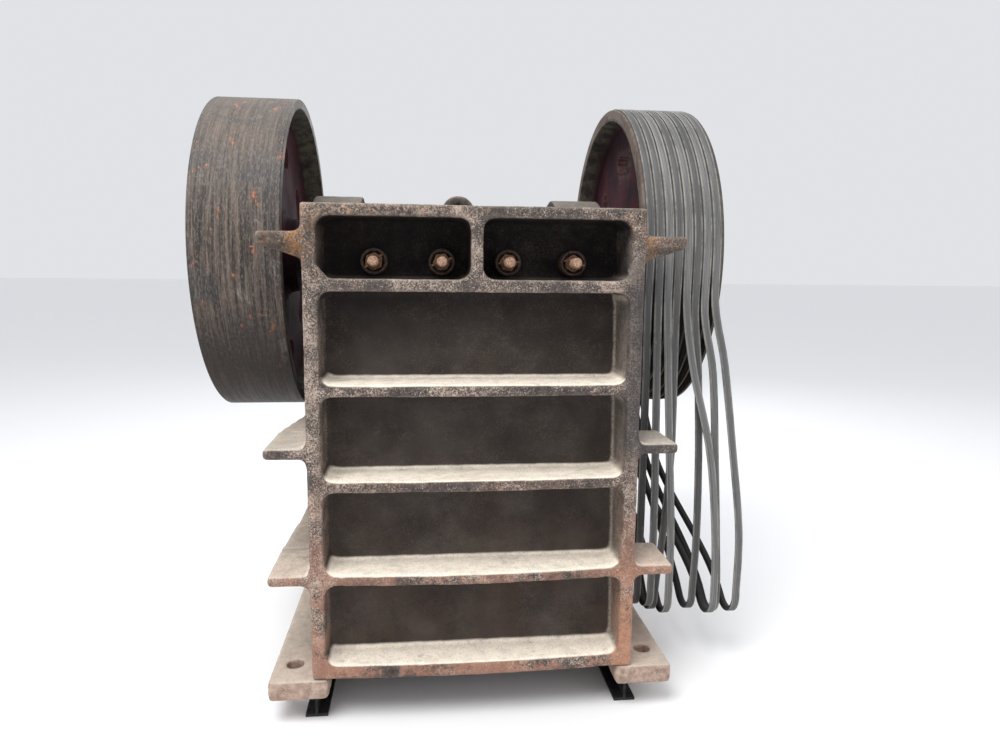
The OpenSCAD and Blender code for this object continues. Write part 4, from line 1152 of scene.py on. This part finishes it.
class CRUSHER_OT_clamp_bolts(bpy.types.Operator):
    """Clamp bolts with thread, chamfered nuts and dished cups"""

    bl_idname = "crusher.clamp_bolts"
    bl_label = "Clamp bolts"

    def execute(self, context):
        sizes = context.scene.crusher_sizes
        nuts = bmesh.new()
        cups = bmesh.new()
        for number in range(4):
            node = f"clamp_bolt_{number + 1}"
            low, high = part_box(node)
            centre = Vector(((low[0] + high[0]) / 2, 0.0, (low[2] + high[2]) / 2))
            bolt = bmesh.new()
            rear = high[1] - 0.02
            add_threaded_rod(bolt, centre, low[1], rear, BOLT_R, sizes.thread_pitch, 0.12)
            corner = Vector((NUT_HALF, 0.0, NUT_HALF))
            start = centre - corner + Vector((0.0, rear - 0.0005, 0.0))
            verts = block(bolt, start, centre + corner + Vector((0.0, high[1], 0.0)))
            rounded(bolt, list({e for v in verts for e in v.link_edges}), 0.002)
            finish_piece(node + "_steel", bolt, "frame", [node], "bolt_end", 35.0)
            add_nut(nuts, centre, number)
            add_cup(cups, centre)
        finish_piece("clamp_nut_set", nuts, "frame", ["clamp_nuts"], "rusty", 30.0)
        finish_piece("clamp_cup_set", cups, "frame", ["clamp_cups"], "cup", 35.0)
        return {"FINISHED"}


def add_threaded_rod(bm, centre, start, end, radius, pitch, threaded):
    """A rod along Y whose front end is threaded and chamfered."""
    profile = [(start, 0.0), (start, radius - 0.005), (start + 0.004, radius - 0.0012)]
    along = start + 0.006
    while along < start + threaded:
        profile += [(along, radius), (along + pitch * 0.5, radius - 0.0018)]
        along += pitch
    profile += [(along + 0.003, radius), (end, radius), (end, 0.0)]
    turned(bm, profile, centre, (0.0, 1.0, 0.0), 32, closed=False)


def add_nut(bm, centre, number):
    """A chamfered hexagon nut round a bolt, turned a little further than the nut before it."""
    low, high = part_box("clamp_nuts")
    front, back = low[1], high[1]
    radius = NUT_HALF / math.cos(math.pi / 6)
    outline = []
    for corner in range(6):
        angle = math.radians(17 * number + 6 + 60 * corner)
        outline.append((radius * math.sin(angle), 0.0, radius * math.cos(angle)))
    fresh = bmesh.new()
    prism(fresh, outline, (centre.x, back, centre.z), (0.0, front - back, 0.0))
    rounded(fresh, fresh.edges[:], 0.0025)
    append(bm, fresh)
    split_pin(bm, centre, front - 0.012, number)


def split_pin(bm, centre, y, number):
    """The bent ends of a split pin beside the nut."""
    stand = Matrix.Translation((centre.x, y, centre.z))
    stand = stand @ Matrix.Rotation(math.radians(-38 + 17 * number), 4, "Y")
    lie = Matrix.Rotation(math.pi / 2, 4, "X")
    for side in (-1, 1):
        bend = Matrix.Translation((side * 0.027, 0.0, 0.0)) @ Matrix.Rotation(math.radians(64 * side), 4, "Z")
        fresh = bmesh.new()
        bmesh.ops.create_cone(
            fresh, cap_ends=True, segments=10, radius1=0.0042, radius2=0.0034, depth=0.022,
            matrix=stand @ bend @ lie,
        )
        append(bm, fresh)


def add_cup(bm, centre):
    """A dished cup under a nut, open to the front."""
    low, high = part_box("clamp_cups")
    front, back = low[1], high[1]
    profile = [
        (back, CUP_BORE_R), (back, CUP_R - 0.004), (back - 0.004, CUP_R), (front + 0.006, CUP_R),
        (front + 0.0015, CUP_R - 0.0022), (front, CUP_R - 0.0055), (front + 0.0015, CUP_R - 0.009),
        (front + 0.007, CUP_R - 0.0118), (front + 0.0235, CUP_R - 0.0145),
        (front + 0.0245, CUP_R - 0.018), (front + 0.0245, CUP_BORE_R),
    ]
    fresh = bmesh.new()
    turned(fresh, profile, centre, (0.0, 1.0, 0.0), 48)
    append(bm, fresh)


class CRUSHER_OT_jaws(bpy.types.Operator):
    """Swing jaw, jaw plates, toggle and tension rod"""

    bl_idname = "crusher.jaws"
    bl_label = "Jaws"

    def execute(self, context):
        sizes = context.scene.crusher_sizes
        bm = merged_copy("swing_jaw")
        bm = cast_skin(bm, sizes.rear_grain * 0.9, 2, sizes.casting_waves * 0.6, 30.0, 6.0, 9.3)
        finish_piece("swing_jaw_cast", bm, "jaw", ["swing_jaw"], "bearing", 60.0)
        dress_nodes(["fixed_jaw", "swing_jaw_plate", "cheek_plate_left", "cheek_plate_right"], "teeth")
        dress_nodes(["jaw_clamp_bar", "swing_clamp_bar"], "dark")
        dress_nodes(["toggle_plate", "toggle_seat", "adjusting_wedge"], "dark")
        dress_nodes(["tension_rod", "tension_spring", "rod_nut"], "rusty")
        return {"FINISHED"}


# The camera's place in metres, and its heading, dip and roll in degrees
CAMERA_PLACE = (-0.1827, -3.2026, 1.6048)
CAMERA_HEADING = -6.12
CAMERA_DIP = 8.02
CAMERA_ROLL = 0.58

# Each lamp's name, place, aim, width in metres and power in watts
LAMPS = (
    ("key", (-1.9, -3.6, 6.6), (0.0, 0.0, 0.9), 3.6, 400.0),
    ("fill", (4.5, -4.5, 3.0), (0.0, 0.0, 0.9), 4.0, 40.0),
    ("back", (1.5, 5.5, 5.0), (0.0, 0.0, 1.2), 4.0, 110.0),
)


class CRUSHER_OT_stage(bpy.types.Operator):
    """Camera, lamps and pale floor"""

    bl_idname = "crusher.stage"
    bl_label = "Stage"

    def execute(self, context):
        scene = context.scene
        sizes = scene.crusher_stage
        add_camera(scene, sizes.lens)
        bm = bmesh.new()
        bmesh.ops.create_grid(bm, x_segments=1, y_segments=1, size=sizes.floor)
        floor = mesh_object("floor", bm)
        floor.data.materials.append(floor_material())
        for values in LAMPS:
            add_lamp(*values)
        build_world(scene)
        scene.view_settings.view_transform = "Standard"
        return {"FINISHED"}


def add_camera(scene, lens):
    """The camera that stands where the photographer stood."""
    data = bpy.data.cameras.new("view")
    data.lens = lens
    data.sensor_width = 36.0
    data.clip_end = 600.0
    camera = linked("view", data)
    turn = (
        Matrix.Rotation(math.radians(CAMERA_HEADING), 4, "Z")
        @ Matrix.Rotation(math.radians(90 - CAMERA_DIP), 4, "X")
        @ Matrix.Rotation(math.radians(CAMERA_ROLL), 4, "Z")
    )
    camera.matrix_world = Matrix.Translation(CAMERA_PLACE) @ turn
    scene.camera = camera


def floor_material():
    """Plain pale floor that shows near white where it is lit."""
    material, _, _, shader = new_material("Studio floor", 0.9)
    shader.inputs["Base Color"].default_value = (0.93, 0.928, 0.922, 1.0)
    return material


def add_lamp(name, place, aim, size, power):
    """A soft square lamp that points at a spot."""
    lamp = bpy.data.lights.new(name, "AREA")
    lamp.shape = "SQUARE"
    lamp.size = size
    lamp.energy = power
    way = Vector(aim) - Vector(place)
    turn = way.to_track_quat("-Z", "Y").to_matrix().to_4x4()
    linked(name, lamp).matrix_world = Matrix.Translation(place) @ turn


def build_world(scene):
    """Soft even light, and a pale backdrop for camera, glossy and clear rays."""
    world = bpy.data.worlds.new("studio")
    world.use_nodes = True
    tree = world.node_tree
    tree.nodes.clear()
    b = Board(tree)
    light = {"Color": (0.93, 0.95, 1.0, 1.0), "Strength": 0.8}
    shown = {"Color": (0.75, 0.765, 0.79, 1.0), "Strength": 1.0}
    rays = b.add("ShaderNodeLightPath").outputs
    seen = b.calc("MAXIMUM", rays["Is Camera Ray"], rays["Is Glossy Ray"])
    seen = b.calc("MAXIMUM", seen, rays["Is Transmission Ray"])
    ends = {
        0: seen,
        1: b.filled("ShaderNodeBackground", light)["Background"],
        2: b.filled("ShaderNodeBackground", shown)["Background"],
    }
    b.filled("ShaderNodeOutputWorld", {"Surface": b.filled("ShaderNodeMixShader", ends)["Shader"]})
    scene.world = world


class CRUSHER_PT_panel(bpy.types.Panel):
    """Lists the crusher's pieces"""

    bl_idname = "CRUSHER_PT_panel"
    bl_label = "Jaw crusher"
    bl_space_type = "VIEW_3D"
    bl_region_type = "UI"
    bl_category = "Crusher"

    def draw(self, context):
        for name in ORDER:
            self.layout.operator("crusher." + name)


ORDER = ["finishes", "stage", "front_wall", "frame", "wheels", "belts", "clamp_bolts", "jaws"]

CLASSES = (
    CrusherSizes,
    CrusherColours,
    StageSizes,
    CRUSHER_OT_finishes,
    CRUSHER_OT_front_wall,
    CRUSHER_OT_frame,
    CRUSHER_OT_wheels,
    CRUSHER_OT_belts,
    CRUSHER_OT_clamp_bolts,
    CRUSHER_OT_jaws,
    CRUSHER_OT_stage,
    CRUSHER_PT_panel,
)


def register():
    for item in CLASSES:
        bpy.utils.register_class(item)
    bpy.types.Scene.crusher_sizes = PointerProperty(type=CrusherSizes)
    bpy.types.Scene.crusher_colours = PointerProperty(type=CrusherColours)
    bpy.types.Scene.crusher_stage = PointerProperty(type=StageSizes)


def unregister():
    del bpy.types.Scene.crusher_stage
    del bpy.types.Scene.crusher_colours
    del bpy.types.Scene.crusher_sizes
    for item in reversed(CLASSES):
        bpy.utils.unregister_class(item)


def main():
    """Build everything in order."""
    register()
    for name in ORDER:
        getattr(bpy.ops.crusher, name)()


if __name__ == "__main__":
    main()
